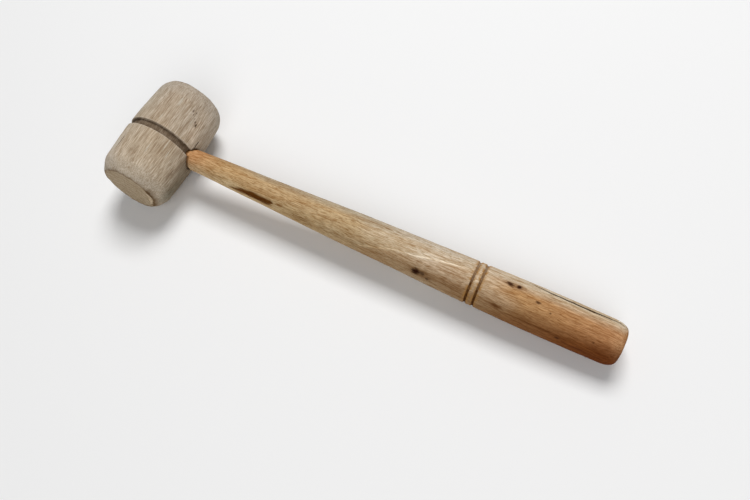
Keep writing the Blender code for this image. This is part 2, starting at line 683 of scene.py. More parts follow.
# Waves to the metre of the noises that are not drawn out by a wood's own fibre
GRAIN_WARP = (60.0, 90.0, 90.0)
RING_WOBBLE = (14.0, 45.0, 45.0)
MARK_EDGE = (350.0, 1100.0, 1100.0)
SHADE_AND_RUB_PATCHES = (420.0, 420.0, 420.0)
TONE_DRIFT = (22.0, 60.0, 60.0)

# How much finer than the fine fibre the thread, the broad fibre and the pores are
THREAD_FINENESS = (2.6, 1.9, 1.9)
BROAD_FINENESS = (0.25, 0.2, 0.2)
PORE_FINENESS = (2.2, 0.9, 0.9)

# Values between which a mask runs from none to all
PORE_WALL = (0.34, 0.12)
RING_FALL = (1.0, 0.86)
MARK_WALL = (1.25, 0.35)
# Patches of the painted shade in the hollows
HOLLOW_SHADE_PATCHES = (0.2, 0.75)
# Patches of the rubbed lips, which are partly painted light and shade
RUB_AND_LIGHT_PATCHES = (0.35, 0.62)
BROAD_DARK = (0.52, 0.36)
FINE_DARK = (0.48, 0.40)
THREAD_DARK = (0.46, 0.38)
FIBRE_PALE = (0.54, 0.62)
# Patches of the painted shade along the face's rim
RIM_SHADE_PATCHES = (0.62, 0.40)
# Edge of the painted shade inside the splits
SPLIT_WALL = (0.04, 0.40)
GLOSS_PATCHES = (0.3, 0.7)
WHOLE = (0.0, 1.0)

RING_SHARPNESS = 2.5
# Least share of the painted shade in the hollows, where its patches thin it out
HOLLOW_SHADE_LEAST = 0.62


def fibre_group() -> ShaderGroup:
    """Wood fibre: noise drawn out along a swaying grain, at three scales, and pores.

    The fine value is noise over (x / length, y / width, z / width), the thread value the
    same at about half the size, the broad one over lengths four times and widths five
    times as large, and pores are the middles of drawn-out Voronoi cells.

    Returns:
        The group.
    """
    inputs = {"Vector": None, "Length": 0.01, "Width": 0.001, "Sway": 0.003}
    group = ShaderGroup("wood_fibre", inputs, ("Thread", "Fine", "Broad", "Pores"))
    tree, source = group.tree, group.source
    vector = source["Vector"]
    bent = tree.vector("MULTIPLY", vector, GRAIN_WARP)
    warp = tree.add("ShaderNodeTexNoise", {"Vector": bent, "Scale": 1.0, "Detail": 2.0}).outputs["Color"]
    reach = tree.add("ShaderNodeCombineXYZ", {1: source["Sway"], 2: source["Sway"]}).outputs[0]
    grain = tree.vector("ADD", vector, tree.vector("MULTIPLY", warp, reach))
    fine = tree.scaled(grain, source["Length"], source["Width"])
    group.give("Fine", tree.noise(fine, 3.0, 0.6))
    thread = tree.vector("MULTIPLY", fine, THREAD_FINENESS)
    group.give("Thread", tree.noise(thread, 2.0, 0.6))
    broad = tree.vector("MULTIPLY", fine, BROAD_FINENESS)
    group.give("Broad", tree.noise(broad, 2.0, 0.5))
    cells = tree.vector("MULTIPLY", fine, PORE_FINENESS)
    distance = tree.add("ShaderNodeTexVoronoi", {"Vector": cells, "Scale": 1.0}).outputs["Distance"]
    group.give("Pores", tree.remap(distance, *PORE_WALL))
    return group


def ring_group() -> ShaderGroup:
    """Growth rings round a pith line along local X.

    The ring number is (sqrt(y * y + z * z) + wobble * noise) / spacing. Its fraction f
    gives the late wood as f to the power of 2.5 with a soft fall at the end, and its whole
    part gives each ring a tone of its own.

    Returns:
        The group.
    """
    inputs = {"Vector": None, "Spacing": 0.003, "Wobble": 0.004}
    group = ShaderGroup("growth_rings", inputs, ("Late", "Tone"))
    tree, source = group.tree, group.source
    slow = tree.noise(tree.vector("MULTIPLY", source["Vector"], RING_WOBBLE), 3.0, 0.5)
    flat = tree.vector("MULTIPLY", source["Vector"], (0.0, 1.0, 1.0))
    wobble = tree.math("MULTIPLY", tree.math("SUBTRACT", slow, 0.5), source["Wobble"])
    number = tree.math("DIVIDE", tree.math("ADD", tree.length(flat), wobble), source["Spacing"])
    part = tree.math("FRACT", number)
    rise = tree.math("POWER", part, RING_SHARPNESS)
    group.give("Late", tree.math("MULTIPLY", rise, tree.remap(part, *RING_FALL)))
    whole = tree.math("FLOOR", number)
    tone = tree.add("ShaderNodeTexWhiteNoise", {"W": whole}, noise_dimensions="1D").outputs[0]
    group.give("Tone", tone)
    return group


def mark_group() -> ShaderGroup:
    """A ragged spot: 1 inside |(p - centre) / reach| + noise < 0.35 and 0 beyond 1.25.

    Returns:
        The group.
    """
    inputs = {"Vector": None, "Centre": None, "Reach": None, "Ragged": 0.5}
    group = ShaderGroup("wood_mark", inputs, ("Mask",))
    tree, source = group.tree, group.source
    offset = tree.vector("SUBTRACT", source["Vector"], source["Centre"])
    distance = tree.length(tree.vector("DIVIDE", offset, source["Reach"]))
    rough = tree.noise(tree.vector("MULTIPLY", source["Vector"], MARK_EDGE), 3.0, 0.6)
    edge = tree.math("MULTIPLY", tree.math("SUBTRACT", rough, 0.5), source["Ragged"])
    group.give("Mask", tree.remap(tree.math("ADD", distance, edge), *MARK_WALL))
    return group


def shade_and_rub_group() -> ShaderGroup:
    """Painted shade in the hollows, and rubbed lips that are partly painted light and shade, both broken
    up by noise.

    Returns:
        The group.
    """
    inputs = {"Vector": None, "Shaded Hollow": 0.0, "Edge": 0.0}
    group = ShaderGroup("turned_shade_and_rub", inputs, ("Hollow Shade", "Rub And Light"))
    tree, source = group.tree, group.source
    patches = tree.noise(tree.vector("MULTIPLY", source["Vector"], SHADE_AND_RUB_PATCHES), 4.0, 0.6)
    settled = tree.remap(patches, *HOLLOW_SHADE_PATCHES, 1.0, HOLLOW_SHADE_LEAST)
    group.give("Hollow Shade", tree.math("MULTIPLY", source["Shaded Hollow"], settled))
    group.give("Rub And Light", tree.math("MULTIPLY", source["Edge"], tree.remap(patches, *RUB_AND_LIGHT_PATCHES)))
    return group


@dataclass(frozen=True)
class Groups:
    """The shader groups that every wood shares."""

    fibre: ShaderGroup
    rings: ShaderGroup
    mark: ShaderGroup
    shade_and_rub: ShaderGroup


def build_groups() -> Groups:
    """Builds each shared group once."""
    return Groups(fibre_group(), ring_group(), mark_group(), shade_and_rub_group())


# ---------------------------------------------------------------- woods


@dataclass(frozen=True)
class RibbonStain:
    """Tints of a wandering line of figure: a band about it and the wood beyond it.

    The line is roughened by ragged times the fibre. The band's edge is in shares of its
    half width, and the wood beyond fades out from a share of its reach.
    """

    name: str
    band_tint: Colour
    half_width: float
    shift: float
    beyond_tint: Colour
    beyond_reach: float
    ragged: float
    band_edge: tuple[float, float] = (1.25, 0.45)
    beyond_start: tuple[float, float] = (-0.0008, 0.0016)
    beyond_fade: float = 0.4
    run_edge: float = 0.4


@dataclass(frozen=True)
class LitAndShadedSide:
    """Painted light and shade on one side of a piece: lighter tones where it faces the lamps, darker ones
    where it turns away from them.

    They come in where a place lies from reach[0] to reach[1] out from the axis, in the
    direction of the turn.
    """

    tones: tuple[tuple[float, Colour], ...]
    turn: float
    reach: tuple[float, float]


@dataclass(frozen=True)
class Wood:
    """An unvarnished wood: its colours, the scale of its figure and its gloss.

    Colours named tint or dark are multiplied over the wood, and so are those of the end
    grain, the corners, whose paler tone is partly painted rim light, and the rims, which are
    painted shade. A share is the most of a colour that comes in.
    """

    name: str
    tones: tuple[tuple[float, Colour], ...]
    # Painted light and shade, one set of tones for each side of a piece
    lit_and_shaded_sides: tuple[LitAndShadedSide, ...]
    late_colour: Colour
    fibre_dark: Colour
    pale_tint: Colour
    end_colour: Colour
    # Painted shade in the hollows and the splits, lips rubbed and partly painted light, painted shade on
    # the rims, corners partly painted rim light
    hollow_shade_colour: Colour
    split_shade_colour: Colour
    rub_and_light_colour: Colour
    rim_shade_colour: Colour
    corner_tint_and_rim_light: Colour
    stains: tuple[tuple[MarkKind, Colour], ...]
    fibre_length: float
    fibre_width: float
    sway: float
    ring_spacing: float
    ring_wobble: float
    pith: tuple[float, float, float]
    pith_turn: tuple[float, float, float]
    late_share: float
    broad_share: float
    dark_share: float
    pale_share: float
    roughness: tuple[float, float]
    relief: float
    ribbons: tuple[RibbonStain, ...] = ()
    drift_share: float = 0.18
    drift_out: float = 0.03
    clear_corner: float = 0.8
    thread_pale: float = 0.8
    end_ring_share: float = 0.6
    end_share: float = 0.6
    corner_tint_and_rim_light_share: float = 0.55
    rub_and_light_share: float = 0.5
    rim_shade_shares: tuple[float, float] = (0.4, 0.9)
    lens_and_shade_share: float = 0.9
    ragged_fine: float = 0.004
    ragged_broad: float = 0.005
    ring_relief: float = 0.25
    pore_relief: float = 0.6
    bump: float = 0.8
    specular: float = 0.04

    def material(self, spindle: Spindle, reach: tuple[float, float], marks: list[tuple[Mark, float]],
                 groups: Groups) -> bpy.types.Material:
        """Builds the wood for one piece.

        Args:
            spindle: Axis of the piece, which the grain follows.
            reach: First and last station, which the tones are spread over.
            marks: Each mark with the surface's radius there.
            groups: The shared shader groups.

        Returns:
            The finished material.
        """
        material = bpy.data.materials.new(self.name)
        material.use_nodes = True
        material.node_tree.nodes.clear()
        tree = Tree(material.node_tree)
        position = tree.add("ShaderNodeTexCoord", {}).outputs["Object"]
        own_axes = {"Vector": position, "Location": spindle.origin, "Rotation": spindle.rotation}
        own = tree.add("ShaderNodeMapping", own_axes, vector_type="TEXTURE").outputs[0]
        fibre_inputs = {"Vector": own, "Length": self.fibre_length, "Width": self.fibre_width}
        fibre = groups.fibre.place(tree, fibre_inputs | {"Sway": self.sway}).outputs
        pith = {"Vector": own, "Location": self.pith, "Rotation": self.pith_turn}
        ring_axes = tree.add("ShaderNodeMapping", pith, vector_type="TEXTURE").outputs[0]
        ring_inputs = {"Vector": ring_axes, "Spacing": self.ring_spacing, "Wobble": self.ring_wobble}
        rings = groups.rings.place(tree, ring_inputs).outputs
        end_grain = tree.attribute("end_grain")

        colour = self._figure_and_side_light(tree, own, reach, fibre, rings)
        colour = self._cut_ends(tree, colour, rings, end_grain)
        colour = self._ribbons(tree, colour, fibre)
        colour, knots = self._stained(tree, colour, own, marks, groups)
        colour = self._worn_and_shaded(tree, colour, own, fibre, groups)

        shader = tree.add("ShaderNodeBsdfPrincipled", {
            "Base Color": colour,
            "Roughness": tree.remap(fibre["Broad"], *GLOSS_PATCHES, *self.roughness),
            "Normal": self._relief(tree, fibre, rings, knots, end_grain),
            "Specular IOR Level": self.specular,
        })
        tree.add("ShaderNodeOutputMaterial", {"Surface": shader.outputs[0]})
        return material

    def _figure_and_side_light(self, tree: Tree, own: Socket, reach: tuple[float, float], fibre: object,
                rings: object) -> Socket:
        """Colour of the clear wood with its painted light and shade, before its marks.

        A row of tones runs along the piece, and each side lays its painted light and shade over
        it. Rings and fibres are multiplied over them.

        Args:
            tree: The material's nodes.
            own: Coordinates in the piece's own axes.
            reach: First and last station of the tones.
            fibre: Outputs of the fibre group.
            rings: Outputs of the growth ring group.

        Returns:
            The colour.
        """
        parts = tree.add("ShaderNodeSeparateXYZ", {0: own}).outputs
        drift = tree.noise(tree.vector("MULTIPLY", own, TONE_DRIFT), 2.0, 0.5)
        wander = tree.math("MULTIPLY", tree.math("SUBTRACT", drift, 0.5), self.drift_share)
        share = tree.math("ADD", tree.remap_linear(parts[0], *reach), wander)
        colour = tree.ramp(share, list(self.tones))
        drift_out = tree.math("MULTIPLY", wander, self.drift_out)
        # Each side's tones are painted light and shade, by how that side faces the lamps
        for side in self.lit_and_shaded_sides:
            lean = math.radians(side.turn)
            sideways = tree.math("MULTIPLY", parts[1], -math.sin(lean))
            upwards = tree.math("MULTIPLY", parts[2], math.cos(lean))
            outwards = tree.math("ADD", tree.math("ADD", sideways, upwards), drift_out)
            tone = tree.ramp(share, list(side.tones))
            colour = tree.mix(tree.remap(outwards, *side.reach), colour, tone)
        layers = (
            (rings["Tone"], WHOLE, self.late_share * 0.5, self.late_colour),
            (rings["Late"], WHOLE, self.late_share, self.late_colour),
            (fibre["Broad"], BROAD_DARK, self.broad_share, self.fibre_dark),
            (fibre["Fine"], FINE_DARK, self.dark_share, self.fibre_dark),
            (fibre["Thread"], THREAD_DARK, self.dark_share, self.fibre_dark),
            (fibre["Pores"], WHOLE, self.dark_share * 0.5, self.fibre_dark),
            (fibre["Fine"], FIBRE_PALE, self.pale_share, self.pale_tint),
            (fibre["Thread"], FIBRE_PALE, self.pale_share * self.thread_pale, self.pale_tint),
        )
        clear = tree.remap(tree.attribute("corner"), *WHOLE, 1.0, self.clear_corner)
        for value, wall, most, tint in layers:
            depth = tree.math("MULTIPLY", tree.remap(value, *wall), most)
            colour = tree.mix(tree.math("MULTIPLY", depth, clear), colour, tint, "MULTIPLY")
        return colour

    def _cut_ends(self, tree: Tree, colour: Socket, rings: object, end_grain: Socket) -> Socket:
        """Shows the rings on the end grain, and tints it and the corners, whose paler tone is partly end
        grain and partly painted rim light.

        Args:
            tree: The material's nodes.
            colour: The clear wood's colour.
            rings: Outputs of the growth ring group.
            end_grain: Mask of the cut ends.

        Returns:
            The colour.
        """
        end_rings = tree.math("MULTIPLY", rings["Late"], end_grain)
        corner = tree.attribute("corner")
        layers = (
            (end_rings, self.end_ring_share, self.fibre_dark),
            (end_grain, self.end_share, self.end_colour),
            # Corners: partly end grain, partly painted rim light
            (corner, self.corner_tint_and_rim_light_share, self.corner_tint_and_rim_light),
        )
        for mask, most, tint in layers:
            colour = tree.mix(tree.math("MULTIPLY", mask, most), colour, tint, "MULTIPLY")
        return colour

    def _worn_and_shaded(self, tree: Tree, colour: Socket, own: Socket, fibre: object, groups: Groups) -> Socket:
        """Lays the rubbed lips with their painted light, the painted shade of the rims, the blow's
        crushed lens and painted shade, and the painted shade in the hollows and the splits over the
        colour.

        Args:
            tree: The material's nodes.
            colour: The stained wood's colour.
            own: Coordinates in the piece's own axes.
            fibre: Outputs of the fibre group.
            groups: The shared shader groups.

        Returns:
            The colour.
        """
        masks = {"Vector": own, "Shaded Hollow": tree.attribute("hollow_shade"), "Edge": tree.attribute("edge")}
        shade_and_rub = groups.shade_and_rub.place(tree, masks).outputs
        rim_share = tree.remap(fibre["Broad"], *RIM_SHADE_PATCHES, *self.rim_shade_shares)
        split = tree.remap(tree.attribute("split"), *SPLIT_WALL)
        # The rims, the chip's facet, the hollows and the splits take painted shade; the lips a rubbed
        # tone with painted light and shade; the crushed lens is pale wood
        layers = (
            (shade_and_rub["Rub And Light"], self.rub_and_light_share, self.rub_and_light_colour, "MIX"),
            (tree.attribute("rim_shade"), rim_share, self.rim_shade_colour, "MULTIPLY"),
            (tree.attribute("crushed"), self.lens_and_shade_share, self.pale_tint, "MULTIPLY"),
            (tree.attribute("facet_shade"), self.lens_and_shade_share, self.rim_shade_colour, "MULTIPLY"),
            (shade_and_rub["Hollow Shade"], 1.0, self.hollow_shade_colour, "MIX"),
            (split, 1.0, self.split_shade_colour, "MIX"),
        )
        for mask, most, tint, blend in layers:
            colour = tree.mix(tree.math("MULTIPLY", mask, most), colour, tint, blend)
        return colour

    def _ribbons(self, tree: Tree, colour: Socket, fibre: object) -> Socket:
        """Lays the wandering lines of figure over the colour, each along its own offsets.

        The offset from a line is roughened by the fibre first. A ribbon tints a band about
        the line, which narrows with its run, and tints its far side too.

        Args:
            tree: The material's nodes.
            colour: The wood's colour.
            fibre: Outputs of the fibre group.

        Returns:
            The colour.
        """
        fine = tree.math("MULTIPLY", tree.math("SUBTRACT", fibre["Fine"], 0.5), self.ragged_fine)
        broad = tree.math("MULTIPLY", tree.math("SUBTRACT", fibre["Broad"], 0.5), self.ragged_broad)
        rough = tree.math("ADD", fine, broad)
        for ribbon in self.ribbons:
            offset = tree.math("MULTIPLY_ADD", rough, ribbon.ragged, tree.attribute(ribbon.name))
            run = tree.attribute(ribbon.name + "_run")
            across = tree.math("ABSOLUTE", tree.math("SUBTRACT", offset, ribbon.shift))
            taper = tree.math("MULTIPLY", tree.math("SUBTRACT", 1.0, run), ribbon.half_width)
            across = tree.math("ADD", across, taper)
            outer, inner = (ribbon.half_width * share for share in ribbon.band_edge)
            band = tree.remap(across, outer, inner)
            beyond = tree.remap(offset, *ribbon.beyond_start)
            fade = tree.remap(offset, ribbon.beyond_reach, ribbon.beyond_reach * ribbon.beyond_fade)
            beyond = tree.math("MULTIPLY", tree.math("MULTIPLY", beyond, fade), run)
            colour = tree.mix(beyond, colour, ribbon.beyond_tint, "MULTIPLY")
            band = tree.math("MULTIPLY", band, tree.remap(run, 0.0, ribbon.run_edge))
            colour = tree.mix(band, colour, ribbon.band_tint, "MULTIPLY")
        return colour

    def _stained(self, tree: Tree, colour: Socket, own: Socket, marks: list[tuple[Mark, float]],
                 groups: Groups) -> tuple[Socket, Socket | float]:
        """Lays each mark over the colour.

        Args:
            tree: The material's nodes.
            colour: The wood's colour.
            own: Coordinates in the piece's own axes.
            marks: Each mark with the surface's radius there.
            groups: The shared shader groups.

        Returns:
            The colour, and the knots' joint mask, or 0 where there are none.
        """
        stains = dict(self.stains)
        knots = 0.0
        for mark, radius in marks:
            shape = {"Centre": mark.centre(radius), "Reach": mark.reach(), "Ragged": mark.ragged}
            mask = groups.mark.place(tree, {"Vector": own} | shape).outputs["Mask"]
            share = tree.math("MULTIPLY", mask, mark.share)
            blend = "MIX" if mark.kind is MarkKind.PALE else "MULTIPLY"
            colour = tree.mix(share, colour, stains[mark.kind], blend)
            if mark.kind is MarkKind.KNOT:
                knots = tree.math("MAXIMUM", knots, share)
        return colour, knots

    def _relief(self, tree: Tree, fibre: object, rings: object, knots: Socket | float,
                end_grain: Socket) -> Socket:
        """Surface normal from raised grain, pores and sunken knots.

        Args:
            tree: The material's nodes.
            fibre: Outputs of the fibre group.
            rings: Outputs of the growth ring group.
            knots: Mask of the knots.
            end_grain: Mask of the cut ends, whose pores are deeper.

        Returns:
            The normal.
        """
        raised = tree.math("ADD", fibre["Fine"], tree.math("MULTIPLY", rings["Late"], self.ring_relief))
        sunken = tree.math("MULTIPLY", fibre["Pores"], tree.math("ADD", end_grain, self.pore_relief))
        height = tree.math("SUBTRACT", raised, tree.math("ADD", sunken, knots))
        inputs = {"Strength": self.bump, "Distance": self.relief, "Height": height}
        return tree.add("ShaderNodeBump", inputs).outputs[0]


HEAD_WOOD = Wood(
    name="head_wood",
    tones=((0.0, (0.51, 0.425, 0.325)), (0.25, (0.475, 0.39, 0.29)), (0.6, (0.465, 0.385, 0.295)),
           (1.0, (0.44, 0.37, 0.295))),
    # Painted light and shade: lighter tones on the upper side and on the back half's far side, darker
    # ones on the lower front side
    lit_and_shaded_sides=(
        LitAndShadedSide(((0.0, (0.58, 0.50, 0.41)), (0.3, (0.58, 0.50, 0.40)), (0.5, (0.52, 0.45, 0.355)),
              (0.72, (0.56, 0.50, 0.405)), (0.87, (0.48, 0.42, 0.34)), (1.0, (0.41, 0.355, 0.285))),
             -58.0, (0.0120, 0.0240)),
        LitAndShadedSide(((0.0, (0.48, 0.40, 0.30)), (0.48, (0.46, 0.38, 0.29)), (0.60, (0.60, 0.50, 0.39)),
              (1.0, (0.52, 0.45, 0.37))), 80.0, (0.0212, 0.0248)),
        LitAndShadedSide(((0.0, (0.21, 0.19, 0.14)), (0.45, (0.23, 0.185, 0.13)), (0.62, (0.42, 0.36, 0.285)),
              (1.0, (0.52, 0.46, 0.38))), 108.0, (0.0188, 0.0245)),
    ),
    late_colour=(0.84, 0.77, 0.68),
    fibre_dark=(0.62, 0.53, 0.43),
    pale_tint=(1.36, 1.38, 1.42),
    end_colour=(0.97, 0.88, 0.70),
    # Painted shade in the hollows and the splits, the lips' rubbed tone with painted light, the rim's
    # painted shade, and the corners' tint, partly painted rim light
    hollow_shade_colour=(0.085, 0.052, 0.029),
    split_shade_colour=(0.11, 0.072, 0.042),
    rub_and_light_colour=(0.60, 0.53, 0.43),
    rim_shade_colour=(0.46, 0.38, 0.30),
    corner_tint_and_rim_light=(1.02, 1.07, 1.13),
    stains=((MarkKind.KNOT, (0.14, 0.09, 0.055)), (MarkKind.STREAK, (0.42, 0.33, 0.25)),
            (MarkKind.PALE, (0.60, 0.56, 0.47))),
    fibre_length=0.015,
    fibre_width=0.00062,
    sway=0.0004,
    ring_spacing=0.0040,
    ring_wobble=0.006,
    pith=(0.0, 0.009, -0.017),
    pith_turn=(0.0, 0.04, 0.03),
    late_share=0.45,
    broad_share=0.26,
    dark_share=0.6,
    pale_share=0.6,
    roughness=(0.92, 0.82),
    relief=0.00024,
)

HANDLE_WOOD = Wood(
    name="handle_wood",
    tones=((0.0, (0.49, 0.27, 0.125)), (0.10, (0.53, 0.36, 0.185)), (0.28, (0.505, 0.36, 0.200)),
           (0.48, (0.49, 0.36, 0.205)), (0.60, (0.645, 0.555, 0.435)), (0.70, (0.61, 0.50, 0.365)),
           (0.78, (0.47, 0.28, 0.130)), (1.0, (0.435, 0.22, 0.100))),
    # Painted light and shade: a lit top, and painted shade on the lower front side that deepens towards
    # the grip
    lit_and_shaded_sides=(
        LitAndShadedSide(((0.0, (0.33, 0.25, 0.15)), (0.20, (0.37, 0.31, 0.22)), (0.45, (0.46, 0.40, 0.30)),
              (0.60, (0.55, 0.48, 0.385)), (0.75, (0.61, 0.52, 0.40)), (1.0, (0.59, 0.49, 0.35))),
             -62.0, (0.0052, 0.0110)),
        LitAndShadedSide(((0.0, (0.76, 0.60, 0.39)), (0.12, (0.76, 0.61, 0.38)), (0.30, (0.50, 0.36, 0.185)),
              (0.58, (0.50, 0.395, 0.26)), (0.71, (0.33, 0.205, 0.103)), (0.78, (0.275, 0.14, 0.056)),
              (0.90, (0.21, 0.074, 0.019)), (1.0, (0.155, 0.042, 0.008))), 90.0, (0.0025, 0.0112)),
    ),
    late_colour=(0.84, 0.70, 0.52),
    fibre_dark=(0.66, 0.52, 0.36),
    pale_tint=(1.28, 1.30, 1.34),
    end_colour=(0.80, 0.68, 0.50),
    # Painted shade in the hollows and the split, the lips' rubbed tone with painted light and shade, and
    # the corners' tint, partly painted rim light
    hollow_shade_colour=(0.088, 0.030, 0.004),
    split_shade_colour=(0.030, 0.015, 0.006),
    rub_and_light_colour=(0.37, 0.19, 0.058),
    rim_shade_colour=(0.5, 0.4, 0.3),
    corner_tint_and_rim_light=(1.05, 1.18, 1.35),
    stains=((MarkKind.KNOT, (0.085, 0.024, 0.004)), (MarkKind.STREAK, (0.46, 0.30, 0.16)),
            (MarkKind.PALE, (0.60, 0.54, 0.42))),
    fibre_length=0.0085,
    fibre_width=0.00066,
    sway=0.0026,
    ring_spacing=0.0032,
    ring_wobble=0.008,
    pith=(0.12, 0.012, -0.010),
    pith_turn=(0.0, 0.035, 0.03),
    late_share=0.4,
    broad_share=0.42,
    dark_share=0.66,
    pale_share=0.68,
    roughness=(0.82, 0.68),
    relief=0.00016,
    ribbons=(
        RibbonStain("darkening", (0.22, 0.105, 0.020), 0.0021, 0.0001, (0.86, 0.78, 0.66), 0.0035, 0.8),
        RibbonStain("seam", (1.32, 1.36, 1.40), 0.0004, -0.0004, (0.83, 0.74, 0.66), 0.0200, 0.25),
    ),
)

WEDGE_WOOD = Wood(
    name="wedge_wood",
    tones=((0.0, (0.32, 0.19, 0.10)), (1.0, (0.28, 0.16, 0.085))),
    lit_and_shaded_sides=(),
    late_colour=(0.7, 0.56, 0.42),
    fibre_dark=(0.55, 0.42, 0.3),
    pale_tint=(1.2, 1.2, 1.2),
    end_colour=(0.8, 0.7, 0.6),
    hollow_shade_colour=(0.06, 0.035, 0.02),
    split_shade_colour=(0.022, 0.012, 0.005),
    rub_and_light_colour=(0.62, 0.38, 0.15),
    rim_shade_colour=(0.5, 0.4, 0.3),
    corner_tint_and_rim_light=(1.0, 1.0, 1.0),
    stains=(),
    fibre_length=0.006,
    fibre_width=0.0004,
    sway=0.001,
    ring_spacing=0.0016,
    ring_wobble=0.003,
    pith=(0.0, 0.02, -0.01),
    pith_turn=(0.0, 0.0, 0.0),
    late_share=0.5,
    broad_share=0.3,
    dark_share=0.5,
    pale_share=0.3,
    roughness=(0.74, 0.62),
    relief=0.00012,
)


# ---------------------------------------------------------------- the three pieces


@dataclass(frozen=True)
class HeadEnd:
    """One half of the head: its reach from the groove, its corner and its flat share.

    The corner stops at trim times its arc, which leaves a rim round the face.
    """

    length: float
    corner: float
    flat: float
    trim: float = 0.86


@dataclass(frozen=True)
class Head:
    """The barrel head with its groove, its rounded corners and the bore for the tenon.

    The surface is warped and dented inwards only, so that it stays inside its box. Pairs
    of numbers are the limits between which a stain, a painted shade or a mask comes in, in metres.
    """

    spindle: Spindle
    radius: float = 0.025
    front: HeadEnd = HeadEnd(0.036, 0.0095, 0.77)
    back: HeadEnd = HeadEnd(0.0383, 0.0072, 0.87)
    taper: float = 0.078
    taper_span: float = 0.036
    corner_power: float = 1.55
    groove_half: float = 0.0022
    groove_depth: float = 0.0020
    groove_edge: float = 0.00035
    bore_radius: float = 0.00692
    bore_turns: int = 120
    turns: int = 300
    corner_rows: int = 31
    face_rows: int = 41
    side_rows: int = 66
    face_spacing: float = 0.7
    warp: Unevenness = Unevenness(11, 0.045, 0.00010)
    dents: Unevenness = Unevenness(12, 0.008, 0.00003)
    end_dents: float = 3.0
    end_run: tuple[float, float] = (0.6, 0.95)
    inwards: float = 0.00022
    rough: Unevenness = Unevenness(32, 0.0032, 0.00030)
    groove_margin: float = 0.0002
    # Depths over which painted shade comes into the groove
    groove_shade: tuple[float, float] = (0.0004, 0.0016)
    lip_reach: float = 0.0005
    # Width of the painted shade along the face's rim
    rim_shade_reach: float = 0.0011
    face_wall: tuple[float, float] = (0.0010, 0.0002)
    corner_run: tuple[float, float] = (0.0150, 0.0040)
    chip_wall: tuple[float, float] = (-0.0300, -0.0325)
    # Painted shadow round the joint with the handle
    joint_shadow_wall: tuple[float, float] = (0.0001, 0.0011)
    joint_shadow_depth: float = 0.004
    joint_shadow_share: float = 0.85
    splits: tuple[Split, ...] = (
        Split(-0.0200, -0.0105, -28.0, 0.6, 0.00060, 0.0012, 0.06),
        Split(0.0046, 0.0104, 80.0, 0.5, 0.00040, 0.0008, 0.14),
    )
    chip: Chip = Chip(90.0, 0.0180, -0.0357, 36.0, 98.0, 0.0158, 38.0, 0.0017)
    marks: tuple[Mark, ...] = (
        Mark(MarkKind.KNOT, 0.0160, 59.5, 0.0030, 0.0016, 0.85),
        Mark(MarkKind.KNOT, 0.0176, 55.5, 0.0022, 0.0015, 0.75),
        Mark(MarkKind.KNOT, 0.0190, 52.0, 0.0018, 0.0012, 0.5),
        Mark(MarkKind.KNOT, 0.0206, 47.0, 0.0022, 0.0012, 0.6),
        Mark(MarkKind.KNOT, 0.0226, 44.0, 0.0026, 0.0014, 0.7),
        Mark(MarkKind.KNOT, 0.0228, 49.5, 0.0018, 0.0013, 0.55),
        Mark(MarkKind.STREAK, 0.0180, 56.0, 0.0100, 0.0040, 0.2),
        Mark(MarkKind.STREAK, -0.0200, 72.0, 0.0120, 0.0024, 0.5),
        Mark(MarkKind.STREAK, -0.0150, 77.0, 0.0140, 0.0026, 0.4),
        Mark(MarkKind.STREAK, -0.0195, 33.0, 0.0050, 0.0014, 0.45),
        Mark(MarkKind.STREAK, -0.0210, 8.0, 0.0100, 0.0060, 0.28),
        Mark(MarkKind.STREAK, -0.0120, 30.0, 0.0100, 0.0050, 0.2),
        Mark(MarkKind.STREAK, 0.0100, 22.0, 0.0120, 0.0050, 0.2),
        Mark(MarkKind.STREAK, 0.0080, 60.0, 0.0090, 0.0040, 0.25),
        Mark(MarkKind.STREAK, 0.0190, -20.0, 0.0100, 0.0040, 0.2),
        Mark(MarkKind.STREAK, -0.0115, 12.0, 0.0080, 0.0016, 0.3),
        Mark(MarkKind.PALE, -0.0150, 22.0, 0.0090, 0.0010, 0.6),
        Mark(MarkKind.PALE, -0.0120, 50.0, 0.0100, 0.0009, 0.7),
        Mark(MarkKind.PALE, -0.0080, 41.0, 0.0070, 0.0009, 0.6),
        Mark(MarkKind.PALE, 0.0090, 10.0, 0.0080, 0.0010, 0.6),
        Mark(MarkKind.PALE, 0.0150, 50.0, 0.0060, 0.0009, 0.5),
        Mark(MarkKind.PALE, 0.0230, 20.0, 0.0080, 0.0022, 0.5),
        Mark(MarkKind.PALE, -0.0190, -36.0, 0.0120, 0.0070, 0.6),
        Mark(MarkKind.STREAK, -0.0300, -18.0, 0.0070, 0.0016, 0.35),
        Mark(MarkKind.STREAK, -0.0285, 14.0, 0.0080, 0.0014, 0.3),
        Mark(MarkKind.STREAK, -0.0290, 52.0, 0.0060, 0.0012, 0.35),
        Mark(MarkKind.STREAK, 0.0285, 34.0, 0.0080, 0.0016, 0.3),
        Mark(MarkKind.STREAK, 0.0150, 150.0, 0.0160, 0.0030, 0.35),
        Mark(MarkKind.STREAK, -0.0160, 205.0, 0.0180, 0.0024, 0.4),
        Mark(MarkKind.STREAK, 0.0200, -70.0, 0.0140, 0.0022, 0.35),
    )

    def barrel(self, station: np.ndarray) -> np.ndarray:
        """Radius of the barrel: R * (1 - taper * (station / span) squared)."""
        return self.radius * (1 - self.taper * (station / self.taper_span) ** 2)

